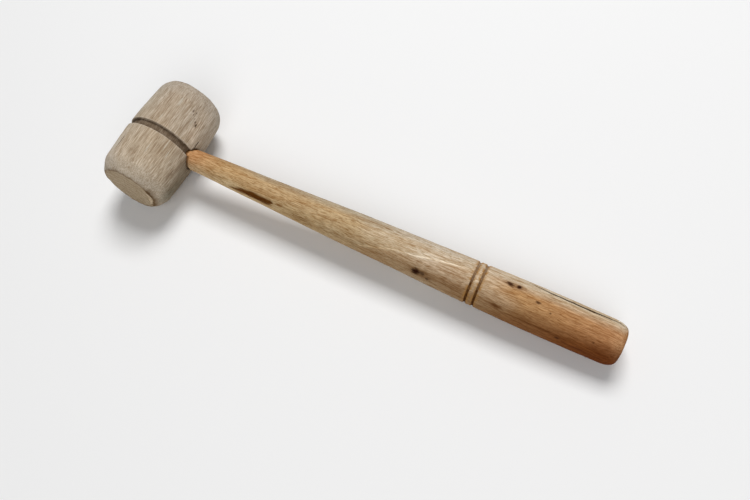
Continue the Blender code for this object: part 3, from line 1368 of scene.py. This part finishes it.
    def half_profile(self, end: HeadEnd) -> np.ndarray:
        """Outline from the face's centre to the groove's middle, with stations positive.

        The corner is a superellipse: depth * sin(a)^(2/n) and inset * (1 - cos(a)^(2/n)).
        It stops short at the rim, and the face is crowned: length - sag * (r / rim)^2.

        Args:
            end: The half of the head.

        Returns:
            Array of (station, radius) rows, the first face_rows of them on the face.
        """
        angle = np.linspace(end.trim * math.pi / 2, 0.0, self.corner_rows)
        power = 2 / self.corner_power
        depth_left = np.sin(angle) ** power
        inset_left = 1 - np.clip(np.cos(angle), 0.0, 1.0) ** power
        station = end.length - end.corner + end.corner * depth_left
        corner = np.stack([station, self.barrel(station) * (1 - (1 - end.flat) * inset_left)], 1)
        share = np.linspace(0.0, 1.0, self.face_rows) ** self.face_spacing
        crown = end.length - (end.length - corner[0, 0]) * share ** 2
        face = np.stack([crown, corner[0, 1] * share], 1)
        edge, half = self.groove_edge, self.groove_half
        side_station = np.linspace(end.length - end.corner, half + edge, self.side_rows)
        side = np.stack([side_station, self.barrel(side_station)], 1)
        floor = self.radius - self.groove_depth
        lip = arc((half + edge, self.radius - edge), edge, 90.0, 180.0, 5)
        wall = straight((half, self.radius - edge), (half, floor + edge), 4)
        foot = arc((half - edge, floor + edge), edge, 0.0, -90.0, 4)
        bed = straight((half - edge, floor), (0.0, floor), 6)
        return joined(face, corner, side, lip, wall, foot, bed)

    def profile(self) -> np.ndarray:
        """Whole outline, from the front face's centre to the back face's."""
        front = self.half_profile(self.front) * np.array([-1.0, 1.0])
        back = self.half_profile(self.back)[::-1]
        return joined(front, back)

    def relief(self, points: np.ndarray, profile: np.ndarray, turn: np.ndarray) -> np.ndarray:
        """How far each place stands proud of the profile, never above it.

        It is min(warp + dents - inwards, 0) - the splits' depth. The dents are (1 + 3) times
        as deep at the ends.

        Args:
            points: Grid of points on the plain surface.
            profile: The outline's (station, radius) rows.
            turn: Turns of the grid's columns.

        Returns:
            Heights in metres, one for each point.
        """
        away = np.abs(profile[:, :1]) / self.front.length
        small = (1 + self.end_dents * smoothstep(*self.end_run, away)) * self.dents(points)
        depth = opened_depth(self.splits, profile[:, :1], turn, profile[:, 1:], deep=True)
        return np.minimum(self.warp(points) + small - self.inwards, 0.0) - depth

    def surface(self) -> np.ndarray:
        """Carries the profile round the axis, moves it along its normals and chips it.

        Returns:
            Grid of points, row by row along the outline.
        """
        profile = self.profile()
        normal = profile_normals(profile)
        turn = np.linspace(0.0, TURN, self.turns, endpoint=False)[None, :]
        ones = np.ones((len(profile), self.turns))
        plain = self.spindle.place(profile[:, :1] * ones, profile[:, 1:] * ones, turn * ones)
        proud = self.relief(plain, profile, turn)
        proud[[0, -1]] = proud[[0, -1]].mean(axis=1, keepdims=True)
        station = profile[:, :1] + normal[:, :1] * proud
        radius = np.clip(profile[:, 1:] + normal[:, 1:] * proud, 0.0, None)
        radius[[0, -1]] = 0.0
        return self.chip.cut(self.spindle, self.spindle.place(station, radius, turn * ones))

    def clearance(self, points: np.ndarray) -> np.ndarray:
        """Height of points above the barrel, or above the groove's bed between its walls.

        Args:
            points: Points in the frame's axes.

        Returns:
            Heights in metres, below zero inside the head.
        """
        station, radius, _ = self.spindle.measure(points)
        bed = self.radius - self.groove_depth
        return radius - np.where(np.abs(station) < self.groove_half, bed, self.barrel(station))

    def dress(self, mesh: bpy.types.Mesh, bore: Spindle) -> None:
        """Stores what the wood reads: painted shade in the hollows and round the joint, edges, end
        grain, splits and the chip.

        A lip, or the painted shade along a rim, fades as exp(-(distance / reach)^2).

        Args:
            mesh: The head's mesh.
            bore: Axis of the bore, round which a painted shadow darkens the joint.
        """
        points = mesh_points(mesh)
        station, radius, turn = self.spindle.measure(points)
        sunk = self.barrel(station) - radius
        rough = self.rough(points)
        in_groove = np.abs(station) < self.groove_half + self.groove_margin
        # Painted shade in the groove
        hollow_shade = np.where(in_groove, smoothstep(*self.groove_shade, sunk), 0.0)
        from_lip = np.abs(station) - self.groove_half - self.groove_edge
        lip = np.exp(-(from_lip / self.lip_reach) ** 2)
        rim_shade = np.zeros_like(station)
        face = np.zeros_like(station)
        corner = np.zeros_like(station)
        for end, sign in ((self.front, -1.0), (self.back, 1.0)):
            outwards = sign * station
            edge_station, edge_radius = self.half_profile(end)[self.face_rows - 1]
            low, high = (edge_station - distance for distance in self.face_wall)
            at_face = smoothstep(low, high, outwards) * (radius < edge_radius + self.face_wall[1])
            face = np.maximum(face, at_face)
            around = np.hypot(outwards - edge_station, radius - edge_radius + rough)
            # Painted shade along the face's rim
            rim_shade = np.maximum(rim_shade, np.exp(-(around / self.rim_shade_reach) ** 2))
            low, high = (end.length - distance for distance in self.corner_run)
            corner = np.maximum(corner, smoothstep(low, high, outwards))
        # A pale lens of crushed wood, and painted shade beside the chip
        crushed, facet_shade = self.chip.chip_shade(turn, radius + rough)
        at_front = smoothstep(*self.chip_wall, station)
        # Painted shadow round the joint with the handle
        _, from_bore, _ = bore.measure(points)
        joint_shadow = 1 - smoothstep(*self.joint_shadow_wall, from_bore - self.bore_radius)
        hollow_shade = np.maximum(hollow_shade, self.joint_shadow_share * joint_shadow * (sunk < self.joint_shadow_depth))
        write_attribute(mesh, "hollow_shade", hollow_shade)
        write_attribute(mesh, "edge", lip * (1 - hollow_shade))
        write_attribute(mesh, "rim_shade", rim_shade)
        write_attribute(mesh, "corner", corner)
        write_attribute(mesh, "facet_shade", facet_shade * at_front)
        write_attribute(mesh, "crushed", crushed * at_front)
        write_attribute(mesh, "end_grain", face)
        # Painted shade inside the splits
        write_attribute(mesh, "split", opened_depth(self.splits, station, turn, radius, deep=False))

    def build(self, bore: Spindle, groups: Groups) -> bpy.types.Object:
        """Makes the head, bores it along the handle's axis and gives it its wood.

        Args:
            bore: The handle's axis.
            groups: The shared shader groups.

        Returns:
            The finished piece.
        """
        piece = add_piece("head_block", closed_mesh("head_block", self.surface()))
        span = 2 * self.radius
        outline = joined(
            straight((-span, 0.0), (-span, self.bore_radius), 2),
            straight((-span, self.bore_radius), (span, self.bore_radius), 2),
            straight((span, self.bore_radius), (span, 0.0), 2),
        )
        turn = np.linspace(0.0, TURN, self.bore_turns, endpoint=False)[None, :]
        ones = np.ones((len(outline), self.bore_turns))
        rod = bore.place(outline[:, :1] * ones, outline[:, 1:] * ones, turn * ones)
        cut_away(piece, add_piece("bore_rod", closed_mesh("bore_rod", rod)))
        self.dress(piece.data, bore)
        reach = (-self.front.length, self.back.length)
        marks = [(mark, float(self.barrel(np.array(mark.station)))) for mark in self.marks]
        piece.data.materials.append(HEAD_WOOD.material(self.spindle, reach, marks, groups))
        finish_piece(piece, "head")
        return piece


@dataclass(frozen=True)
class Handle:
    """The turned handle: tenon, tapered shaft, two cut lines, swelled grip and butt.

    Pairs of numbers are the limits between which a stain, a painted shade or a mask comes in.
    """

    spindle: Spindle
    tenon_end: float = -0.0246
    neck: float = 0.025
    root_radius: float = 0.00665
    shaft_end_radius: float = 0.0121
    fullness: float = 0.4
    lines: tuple[float, float] = (0.2110, 0.2153)
    line_half: float = 0.00085
    line_depth: float = 0.0007
    # How strongly the cut lines' lips take their rubbed tone with painted light and shade
    line_rub_and_light: float = 2.2
    grip_swell: float = 0.00045
    butt: float = 0.289
    butt_corner: float = 0.009
    butt_flat: float = 0.64
    butt_power: float = 2.4
    turns: int = 210
    turns_at_split: int = 44
    split_window: float = 12.0
    corner_rows: int = 25
    dense_neck: float = 0.0045
    dense_line: float = 1.6
    warp: Unevenness = Unevenness(21, 0.060, 0.00010)
    dents: Unevenness = Unevenness(22, 0.007, 0.00002)
    inwards: float = 0.00018
    free_run: float = 0.02
    shoulder: float = 0.00045
    shoulder_wall: tuple[float, float] = (0.0, 0.0016)
    shoulder_end: float = 0.0035
    # Painted shade in the cut lines, deeper towards the front
    line_turns: tuple[float, float] = (-0.9, 1.2)
    line_shade: tuple[float, float] = (0.58, 1.20)
    line_wall: tuple[float, float] = (0.0, 0.6)
    lip_reach: float = 0.0008
    # Painted shadow round the joint with the head
    joint_shadow_wall: tuple[float, float] = (0.0002, 0.0013)
    joint_shadow_share: float = 0.8
    butt_wall: tuple[float, float] = (0.0025, 0.0003)
    tenon_wall: tuple[float, float] = (0.0004, 0.0001)
    corner_run: tuple[float, float] = (0.010, 0.001)
    splits: tuple[Split, ...] = (Split(0.2365, 0.2905, -41.0, -5.0, 0.00120, 0.0024),)
    darkening: Ribbon = Ribbon(
        "darkening",
        ((0.0540, 82.0), (0.0620, 72.5), (0.0700, 64.0), (0.0760, 60.0), (0.0860, 60.5), (0.0905, 56.0)),
        0.021,
        0.004,
    )
    seam: Ribbon = Ribbon(
        "seam",
        ((0.1440, 70.0), (0.1540, 52.0), (0.1600, 41.0), (0.1690, 30.0), (0.1790, 22.5), (0.1890, 12.0),
         (0.1990, 3.0), (0.2110, -8.0)),
        0.006,
        0.006,
    )
    marks: tuple[Mark, ...] = (
        Mark(MarkKind.STREAK, 0.0935, 53.0, 0.0070, 0.0020, 0.8),
        Mark(MarkKind.STREAK, 0.1080, 66.0, 0.0200, 0.0030, 0.3),
        Mark(MarkKind.KNOT, 0.1819, 61.5, 0.0056, 0.0050, 1.0, 1.1),
        Mark(MarkKind.STREAK, 0.1850, 62.0, 0.0150, 0.0070, 0.45),
        Mark(MarkKind.KNOT, 0.1858, 59.5, 0.0032, 0.0028, 0.65, 1.1),
        Mark(MarkKind.KNOT, 0.1888, 70.0, 0.0022, 0.0022, 0.6),
        Mark(MarkKind.KNOT, 0.1460, -60.0, 0.0030, 0.0022, 0.9),
        Mark(MarkKind.KNOT, 0.2292, -12.0, 0.0046, 0.0028, 0.9),
        Mark(MarkKind.KNOT, 0.2338, -13.5, 0.0030, 0.0026, 1.0, 0.9),
        Mark(MarkKind.STREAK, 0.2300, -14.0, 0.0190, 0.0044, 0.5),
        Mark(MarkKind.KNOT, 0.2449, 5.0, 0.0032, 0.0018, 0.8),
        Mark(MarkKind.STREAK, 0.2260, 55.0, 0.0080, 0.0026, 0.8),
        Mark(MarkKind.KNOT, 0.2521, 17.0, 0.0014, 0.0012, 0.7),
        Mark(MarkKind.KNOT, 0.2594, 69.0, 0.0030, 0.0018, 0.7),
        Mark(MarkKind.KNOT, 0.2752, 40.0, 0.0016, 0.0014, 0.6),
        Mark(MarkKind.STREAK, 0.2540, 64.0, 0.0300, 0.0022, 0.5),
        Mark(MarkKind.STREAK, 0.2690, 76.0, 0.0220, 0.0024, 0.5),
        Mark(MarkKind.STREAK, 0.2440, 34.0, 0.0180, 0.0016, 0.35),
        Mark(MarkKind.STREAK, 0.2640, 46.0, 0.0200, 0.0015, 0.35),
        Mark(MarkKind.STREAK, 0.2700, 14.0, 0.0160, 0.0014, 0.3),
        Mark(MarkKind.STREAK, 0.1250, 20.0, 0.0160, 0.0016, 0.3),
        Mark(MarkKind.STREAK, 0.1650, -30.0, 0.0180, 0.0016, 0.3),
        Mark(MarkKind.STREAK, 0.1050, 170.0, 0.0300, 0.0030, 0.4),
        Mark(MarkKind.STREAK, 0.2450, 190.0, 0.0260, 0.0030, 0.4),
        Mark(MarkKind.STREAK, 0.1700, 230.0, 0.0260, 0.0026, 0.4),
    )

    def radius_at(self, station: np.ndarray) -> np.ndarray:
        """Radius without the cut lines.

        The shaft is a parabola from root to lines, root + (end - root) * ((1 + k) t - k t^2),
        and the grip swells by swell * (1 - (2t - 1)^2).

        Args:
            station: Distances along the axis.

        Returns:
            Radii in metres.
        """
        taper = np.clip((station - self.neck) / (self.lines[0] - self.neck), 0.0, 1.0)
        growth = (1 + self.fullness) * taper - self.fullness * taper ** 2
        shaft = self.root_radius + (self.shaft_end_radius - self.root_radius) * growth
        grip_end = self.butt - self.butt_corner
        share = np.clip((station - self.lines[1]) / (grip_end - self.lines[1]), 0.0, 1.0)
        return shaft + self.grip_swell * (1 - (2 * share - 1) ** 2)

    def cut_depth(self, station: np.ndarray) -> np.ndarray:
        """Depth of the two turned lines, a V with a slightly round bottom: depth * (1 - u^1.3).

        Args:
            station: Distances along the axis. They give u, in half widths from a line.

        Returns:
            Depths in metres.
        """
        depth = np.zeros_like(station)
        for line in self.lines:
            across = np.abs(station - line) / self.line_half
            depth = np.maximum(depth, np.clip(1 - across ** 1.3, 0.0, 1.0))
        return self.line_depth * depth

    def stations(self) -> np.ndarray:
        """Stations along the handle's side, close together at the neck and the lines.

        Returns:
            Distances along the axis, in order.
        """
        first, second = self.lines
        wide = self.dense_line * self.line_half
        neck_start, neck_end = self.neck - self.dense_neck, self.neck + self.dense_neck
        return np.unique(np.concatenate([
            np.linspace(self.tenon_end, neck_start, 14),
            np.linspace(neck_start, neck_end, 31),
            np.linspace(neck_end, first - wide, 170),
            np.linspace(first - wide, first + wide, 21),
            np.linspace(first + wide, second - wide, 7),
            np.linspace(second - wide, second + wide, 21),
            np.linspace(second + wide, self.butt - self.butt_corner, 80),
        ]))

    def profile(self) -> np.ndarray:
        """Whole outline, from the tenon's end to the middle of the butt.

        The butt's corner is a superellipse: depth * sin(a)^(2/n) and inset * (1 - cos(a)^(2/n)).

        Returns:
            Array of (station, radius) rows.
        """
        station = self.stations()
        side = np.stack([station, self.radius_at(station) - self.cut_depth(station)], 1)
        angle = np.linspace(0.0, math.pi / 2, self.corner_rows)
        power = 2 / self.butt_power
        inset = 1 - np.clip(np.cos(angle), 0.0, 1.0) ** power
        corner = np.stack([
            self.butt - self.butt_corner + self.butt_corner * np.sin(angle) ** power,
            self.shaft_end_radius * (1 - (1 - self.butt_flat) * inset),
        ], 1)
        end = straight((self.tenon_end, 0.0), (self.tenon_end, self.root_radius), 8)
        butt = straight(tuple(corner[-1]), (self.butt, 0.0), 12)
        return joined(end, side, corner, butt)

    def turn_grid(self) -> np.ndarray:
        """Turns round the handle, close together where the split runs.

        Returns:
            One row of turns in radians.
        """
        middle = math.radians(self.splits[0].turn + self.splits[0].bow / 2)
        window = math.radians(self.split_window)
        fine = np.linspace(middle - window, middle + window, self.turns_at_split, endpoint=False)
        coarse_count = self.turns - self.turns_at_split
        coarse = np.linspace(middle + window, middle - window + TURN, coarse_count, endpoint=False)
        return np.concatenate([fine, coarse])[None, :]

    def relief(self, points: np.ndarray, profile: np.ndarray, turn: np.ndarray, head: Head) -> np.ndarray:
        """How far each place stands proud of the profile, never above it.

        Clear of the head it is warp + dents - inwards. A shoulder where the handle enters
        the head and the splits' depth come off that.

        Args:
            points: Grid of points on the plain surface.
            profile: The outline's (station, radius) rows.
            turn: Turns of the grid's columns.
            head: The head that it enters.

        Returns:
            Heights in metres, one for each point.
        """
        station = profile[:, :1]
        uneven = self.warp(points) + self.dents(points)
        free = smoothstep(self.neck, self.neck + self.free_run, station)
        shoulder = self.shoulder * (1 - smoothstep(*self.shoulder_wall, head.clearance(points)))
        starts = smoothstep(self.neck - self.dense_neck, self.neck - self.shoulder_end, station)
        depth = opened_depth(self.splits, station, turn, profile[:, 1:], deep=True)
        return (uneven - self.inwards) * free - shoulder * starts - depth

    def surface(self, head: Head) -> np.ndarray:
        """Carries the profile round the axis and moves it along its normals.

        Args:
            head: The head that it enters.

        Returns:
            Grid of points, row by row along the outline.
        """
        profile = self.profile()
        normal = profile_normals(profile)
        turn = self.turn_grid()
        ones = np.ones((len(profile), turn.shape[1]))
        plain = self.spindle.place(profile[:, :1] * ones, profile[:, 1:] * ones, turn * ones)
        proud = self.relief(plain, profile, turn, head)
        proud[[0, -1]] = proud[[0, -1]].mean(axis=1, keepdims=True)
        station = profile[:, :1] + normal[:, :1] * proud
        radius = np.clip(profile[:, 1:] + normal[:, 1:] * proud, 0.0, None)
        radius[[0, -1]] = 0.0
        return self.spindle.place(station, radius, turn * ones)

    def dress(self, mesh: bpy.types.Mesh, head: Head) -> None:
        """Stores what the wood reads: painted shade in the hollows and round the joint, edges, end
        grain, splits and ribbons.

        The lines get more painted shade the further they turn to the front. Their lips fade as
        exp(-(distance / reach)^2).

        Args:
            mesh: The handle's mesh.
            head: The head that it enters, round which a painted shadow darkens the joint.
        """
        points = mesh_points(mesh)
        station, radius, turn = self.spindle.measure(points)
        # Painted shade in the cut lines, deeper the further they turn to the front
        least, most = self.line_shade
        darkening = least + (most - least) * smoothstep(*self.line_turns, turn)
        hollow_shade = darkening * smoothstep(*self.line_wall, self.cut_depth(station) / self.line_depth)
        # Painted shadow round the joint with the head
        joint_shadow = 1 - smoothstep(*self.joint_shadow_wall, head.clearance(points))
        hollow_shade = np.maximum(hollow_shade, self.joint_shadow_share * joint_shadow)
        lip = np.zeros_like(station)
        for line in self.lines:
            from_lip = np.abs(station - line) - self.line_half
            lip = np.maximum(lip, np.exp(-(from_lip / self.lip_reach) ** 2))
        butt = smoothstep(*(self.butt - distance for distance in self.butt_wall), station)
        tenon = smoothstep(*(self.tenon_end + distance for distance in self.tenon_wall), station)
        corner = smoothstep(*(self.butt - distance for distance in self.corner_run), station)
        none = np.zeros_like(station)
        write_attribute(mesh, "hollow_shade", hollow_shade)
        write_attribute(mesh, "edge", self.line_rub_and_light * lip)
        for name in ("rim_shade", "facet_shade", "crushed"):
            write_attribute(mesh, name, none)
        write_attribute(mesh, "corner", corner)
        write_attribute(mesh, "end_grain", np.maximum(butt, tenon))
        write_attribute(mesh, "split", opened_depth(self.splits, station, turn, radius, deep=False))
        for ribbon in (self.darkening, self.seam):
            write_attribute(mesh, ribbon.name, ribbon.offset(station, turn, radius))
            write_attribute(mesh, ribbon.name + "_run", ribbon.presence(station))

    def build(self, head: Head, wedge: "Wedge", groups: Groups) -> bpy.types.Object:
        """Makes the handle, saws its kerf and gives it its wood.

        Args:
            head: The head that it enters.
            wedge: The wedge that the kerf is for.
            groups: The shared shader groups.

        Returns:
            The finished piece.
        """
        piece = add_piece("handle_stick", closed_mesh("handle_stick", self.surface(head)))
        saw = closed_mesh("kerf_saw", wedge.surface(wedge.saw_margin, wedge.saw_overrun))
        cut_away(piece, add_piece("kerf_saw", saw))
        self.dress(piece.data, head)
        marks = [(mark, float(self.radius_at(np.array(mark.station)))) for mark in self.marks]
        reach = (self.neck, self.butt)
        piece.data.materials.append(HANDLE_WOOD.material(self.spindle, reach, marks, groups))
        finish_piece(piece, "handle")
        return piece


@dataclass(frozen=True)
class Wedge:
    """The wedge in the tenon's kerf, its outer end cut off level with the tenon's."""

    spindle: Spindle
    outer: float = -0.0246
    length: float = 0.018
    width: float = 0.0122
    outer_thickness: float = 0.0026
    inner_thickness: float = 0.0008
    corner_power: float = 9.0
    body_rows: int = 15
    cap_rows: int = 4
    turns: int = 96
    end_run: float = 0.0004
    saw_margin: float = 0.0001
    saw_overrun: float = 0.004

    def surface(self, margin: float, overrun: float) -> np.ndarray:
        """A tapered bar with rounded corners, closed by a flat cap at each end.

        Its section is a superellipse of half thickness t(x) and half width w, whose radius
        at an angle is (|cos / w|^n + |sin / t|^n)^(-1/n). Each cap shrinks it to its middle.

        Args:
            margin: How much every side stands off.
            overrun: How much further the outer end and the width reach.

        Returns:
            A grid of points from the outer end's middle to the inner end's.
        """
        inner = self.outer + self.length
        body = np.linspace(self.outer - overrun, inner + margin, self.body_rows)
        cap = np.linspace(0.0, 1.0, self.cap_rows, endpoint=False)
        station = np.pad(body, self.cap_rows, mode="edge")
        shrink = np.concatenate([cap, np.ones(self.body_rows), cap[::-1]])
        share = (station - self.outer) / self.length
        thickness = self.outer_thickness + (self.inner_thickness - self.outer_thickness) * share
        half_thickness = (thickness / 2 + margin)[:, None]
        half_width = self.width / 2 + margin + overrun
        turn = np.linspace(0.0, TURN, self.turns, endpoint=False)[None, :]
        power = self.corner_power
        wide = np.abs(np.cos(turn) / half_width) ** power
        thick = np.abs(np.sin(turn) / half_thickness) ** power
        radius = (wide + thick) ** (-1 / power) * shrink[:, None]
        ones = np.ones_like(radius)
        return self.spindle.place(station[:, None] * ones, radius, turn * ones)

    def build(self, groups: Groups) -> bpy.types.Object:
        """Makes the wedge and gives it its wood.

        Args:
            groups: The shared shader groups.

        Returns:
            The finished piece.
        """
        piece = add_piece("wedge", closed_mesh("wedge", self.surface(0.0, 0.0)))
        station, _, _ = self.spindle.measure(mesh_points(piece.data))
        none = np.zeros_like(station)
        for name in ("hollow_shade", "edge", "rim_shade", "corner", "facet_shade", "crushed", "split"):
            write_attribute(piece.data, name, none)
        end = smoothstep(self.outer + self.end_run, self.outer, station)
        write_attribute(piece.data, "end_grain", end)
        reach = (self.outer, self.outer + self.length)
        piece.data.materials.append(WEDGE_WOOD.material(self.spindle, reach, [], groups))
        finish_piece(piece, "tenon_wedge")
        return piece


def finish_piece(piece: bpy.types.Object, node: str) -> None:
    """Shades a piece smooth, hangs it on the mallet's body and names what it stands for.

    Args:
        piece: The finished object.
        node: The frame's node that it replaces.
    """
    piece.data.shade_smooth()
    piece.data.set_sharp_from_angle(angle=SHARP_ANGLE)
    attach(piece, BODY)
    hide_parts(node)
    LOG.info("%s: %d faces, stands for %s", piece.name, len(piece.data.polygons), node)


# ---------------------------------------------------------------- the studio


@dataclass(frozen=True)
class SoftBox:
    """A square studio light: where it hangs from the aim point, its size and its power."""

    name: str
    azimuth: float
    elevation: float
    distance: float
    size: float
    power: float
    tint: Colour = (1.0, 1.0, 1.0)


@dataclass(frozen=True)
class Studio:
    """Pale floor that fades into a pale backdrop, soft lights and the camera."""

    aim: Vector
    floor_size: float = 4.0
    floor_fade: tuple[float, float] = (0.45, 1.6)
    floor_colour: Colour = (0.86, 0.86, 0.86)
    floor_roughness: float = 0.9
    surround: float = 0.14
    backdrop: float = 0.82
    azimuth: float = 45.69
    elevation: float = 57.53
    roll: float = -18.60
    distance: float = 0.4282
    lens: float = 32.17
    shift: tuple[float, float] = (0.1082, -0.0772)
    lights: tuple[SoftBox, ...] = (
        SoftBox("key_light", 190.0, 62.0, 2.0, 0.9, 31.5),
        SoftBox("front_light", 35.0, 45.0, 2.0, 1.4, 15.0),
    )

    def lay_floor(self) -> None:
        """Lays a plain pale floor at z = 0, which turns clear far from the mallet."""
        half = self.floor_size / 2
        corners = [(-half, -half, 0.0), (half, -half, 0.0), (half, half, 0.0), (-half, half, 0.0)]
        mesh = bpy.data.meshes.new("floor")
        mesh.from_pydata(corners, [], [(0, 1, 2, 3)])
        material = bpy.data.materials.new("floor_paper")
        material.use_nodes = True
        material.node_tree.nodes.clear()
        tree = Tree(material.node_tree)
        position = tree.add("ShaderNodeTexCoord", {}).outputs["Object"]
        fade = tree.remap(tree.length(position), *self.floor_fade)
        look = {"Base Color": (*self.floor_colour, 1.0), "Roughness": self.floor_roughness}
        paper = tree.add("ShaderNodeBsdfPrincipled", look)
        clear = tree.add("ShaderNodeBsdfTransparent", {})
        mixed = tree.add("ShaderNodeMixShader", {0: fade, 1: paper.outputs[0], 2: clear.outputs[0]})
        tree.add("ShaderNodeOutputMaterial", {"Surface": mixed.outputs[0]})
        mesh.materials.append(material)
        add_piece("floor", mesh)

    def facing(self, azimuth: float, elevation: float, roll: float = 0.0) -> Matrix:
        """Rotation of something that looks down at the aim point.

        Args:
            azimuth: 0 looks along +Y and 90 along -X, in degrees.
            elevation: Height above the horizon, in degrees.
            roll: Turn about the line of sight, in degrees.

        Returns:
            A 4 by 4 matrix whose -Z is the line of sight.
        """
        level = Euler((math.radians(90.0 - elevation), 0.0, math.radians(azimuth)), "XYZ")
        return level.to_matrix().to_4x4() @ Matrix.Rotation(math.radians(roll), 4, "Z")

    def place(self, item: bpy.types.Object, rotation: Matrix, distance: float) -> None:
        """Puts a light or camera at a distance from the aim point, looking at it.

        Args:
            item: The light or camera.
            rotation: Its turn, from facing.
            distance: How far from the aim point it stands.
        """
        back = rotation @ Vector((0.0, 0.0, distance))
        item.matrix_world = Matrix.Translation(self.aim + back) @ rotation
        bpy.context.scene.collection.objects.link(item)

    def hang_lights(self) -> None:
        """Hangs the soft lights and sets an even surrounding, paler where it is seen."""
        for box in self.lights:
            lamp = bpy.data.lights.new(box.name, "AREA")
            lamp.shape = "SQUARE"
            lamp.size = box.size
            lamp.energy = box.power
            lamp.color = box.tint
            item = bpy.data.objects.new(box.name, lamp)
            self.place(item, self.facing(box.azimuth, box.elevation), box.distance)
        world = bpy.data.worlds.new("studio")
        world.use_nodes = True
        tree = Tree(world.node_tree)
        background = world.node_tree.nodes["Background"]
        background.inputs["Color"].default_value = (1.0, 1.0, 1.0, 1.0)
        seen = tree.add("ShaderNodeLightPath", {}).outputs["Is Camera Ray"]
        strength = tree.math("MULTIPLY_ADD", seen, self.backdrop - self.surround, self.surround)
        world.node_tree.links.new(strength, background.inputs["Strength"])
        bpy.context.scene.world = world

    def set_camera(self) -> None:
        """Puts the camera where the mallet is seen from, with a plain colour transform."""
        lens = bpy.data.cameras.new("camera")
        lens.lens = self.lens
        lens.shift_x, lens.shift_y = self.shift
        camera = bpy.data.objects.new("camera", lens)
        self.place(camera, self.facing(self.azimuth, self.elevation, self.roll), self.distance)
        bpy.context.scene.camera = camera
        bpy.context.scene.view_settings.view_transform = "Standard"


# ---------------------------------------------------------------- putting it together


def read_spindles() -> tuple[Spindle, Spindle]:
    """Reads the two lathe axes from the frame.

    They cross in the middle of the head's box in X and Z. The groove lies the front half's
    length behind the front face, and the handle slopes so that its grip meets the floor.

    Returns:
        The head's spindle and the handle's.
    """
    low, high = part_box("head")
    front = Head.front.length
    origin = Vector(((low.x + high.x) / 2, low.y + front, (low.z + high.z) / 2))
    drop = Head.radius - Handle.shaft_end_radius
    pitch = math.asin(drop / (Handle.butt - Handle.butt_corner))
    along_y = Euler((0.0, 0.0, math.pi / 2))
    return Spindle(origin, along_y), Spindle(origin, Euler((0.0, pitch, 0.0)))


def main() -> None:
    """Builds the mallet and its studio."""
    logging.basicConfig(level=logging.INFO, format="%(name)s: %(message)s")
    head_spindle, handle_spindle = read_spindles()
    studio = Studio(aim=Vector((-0.0463, 0.0148, 0.0)))
    studio.set_camera()
    studio.lay_floor()
    studio.hang_lights()
    groups = build_groups()
    wedge = Wedge(handle_spindle)
    head = Head(head_spindle)
    head.build(handle_spindle, groups)
    Handle(handle_spindle).build(head, wedge, groups)
    wedge.build(groups)


if __name__ == "__main__":
    main()
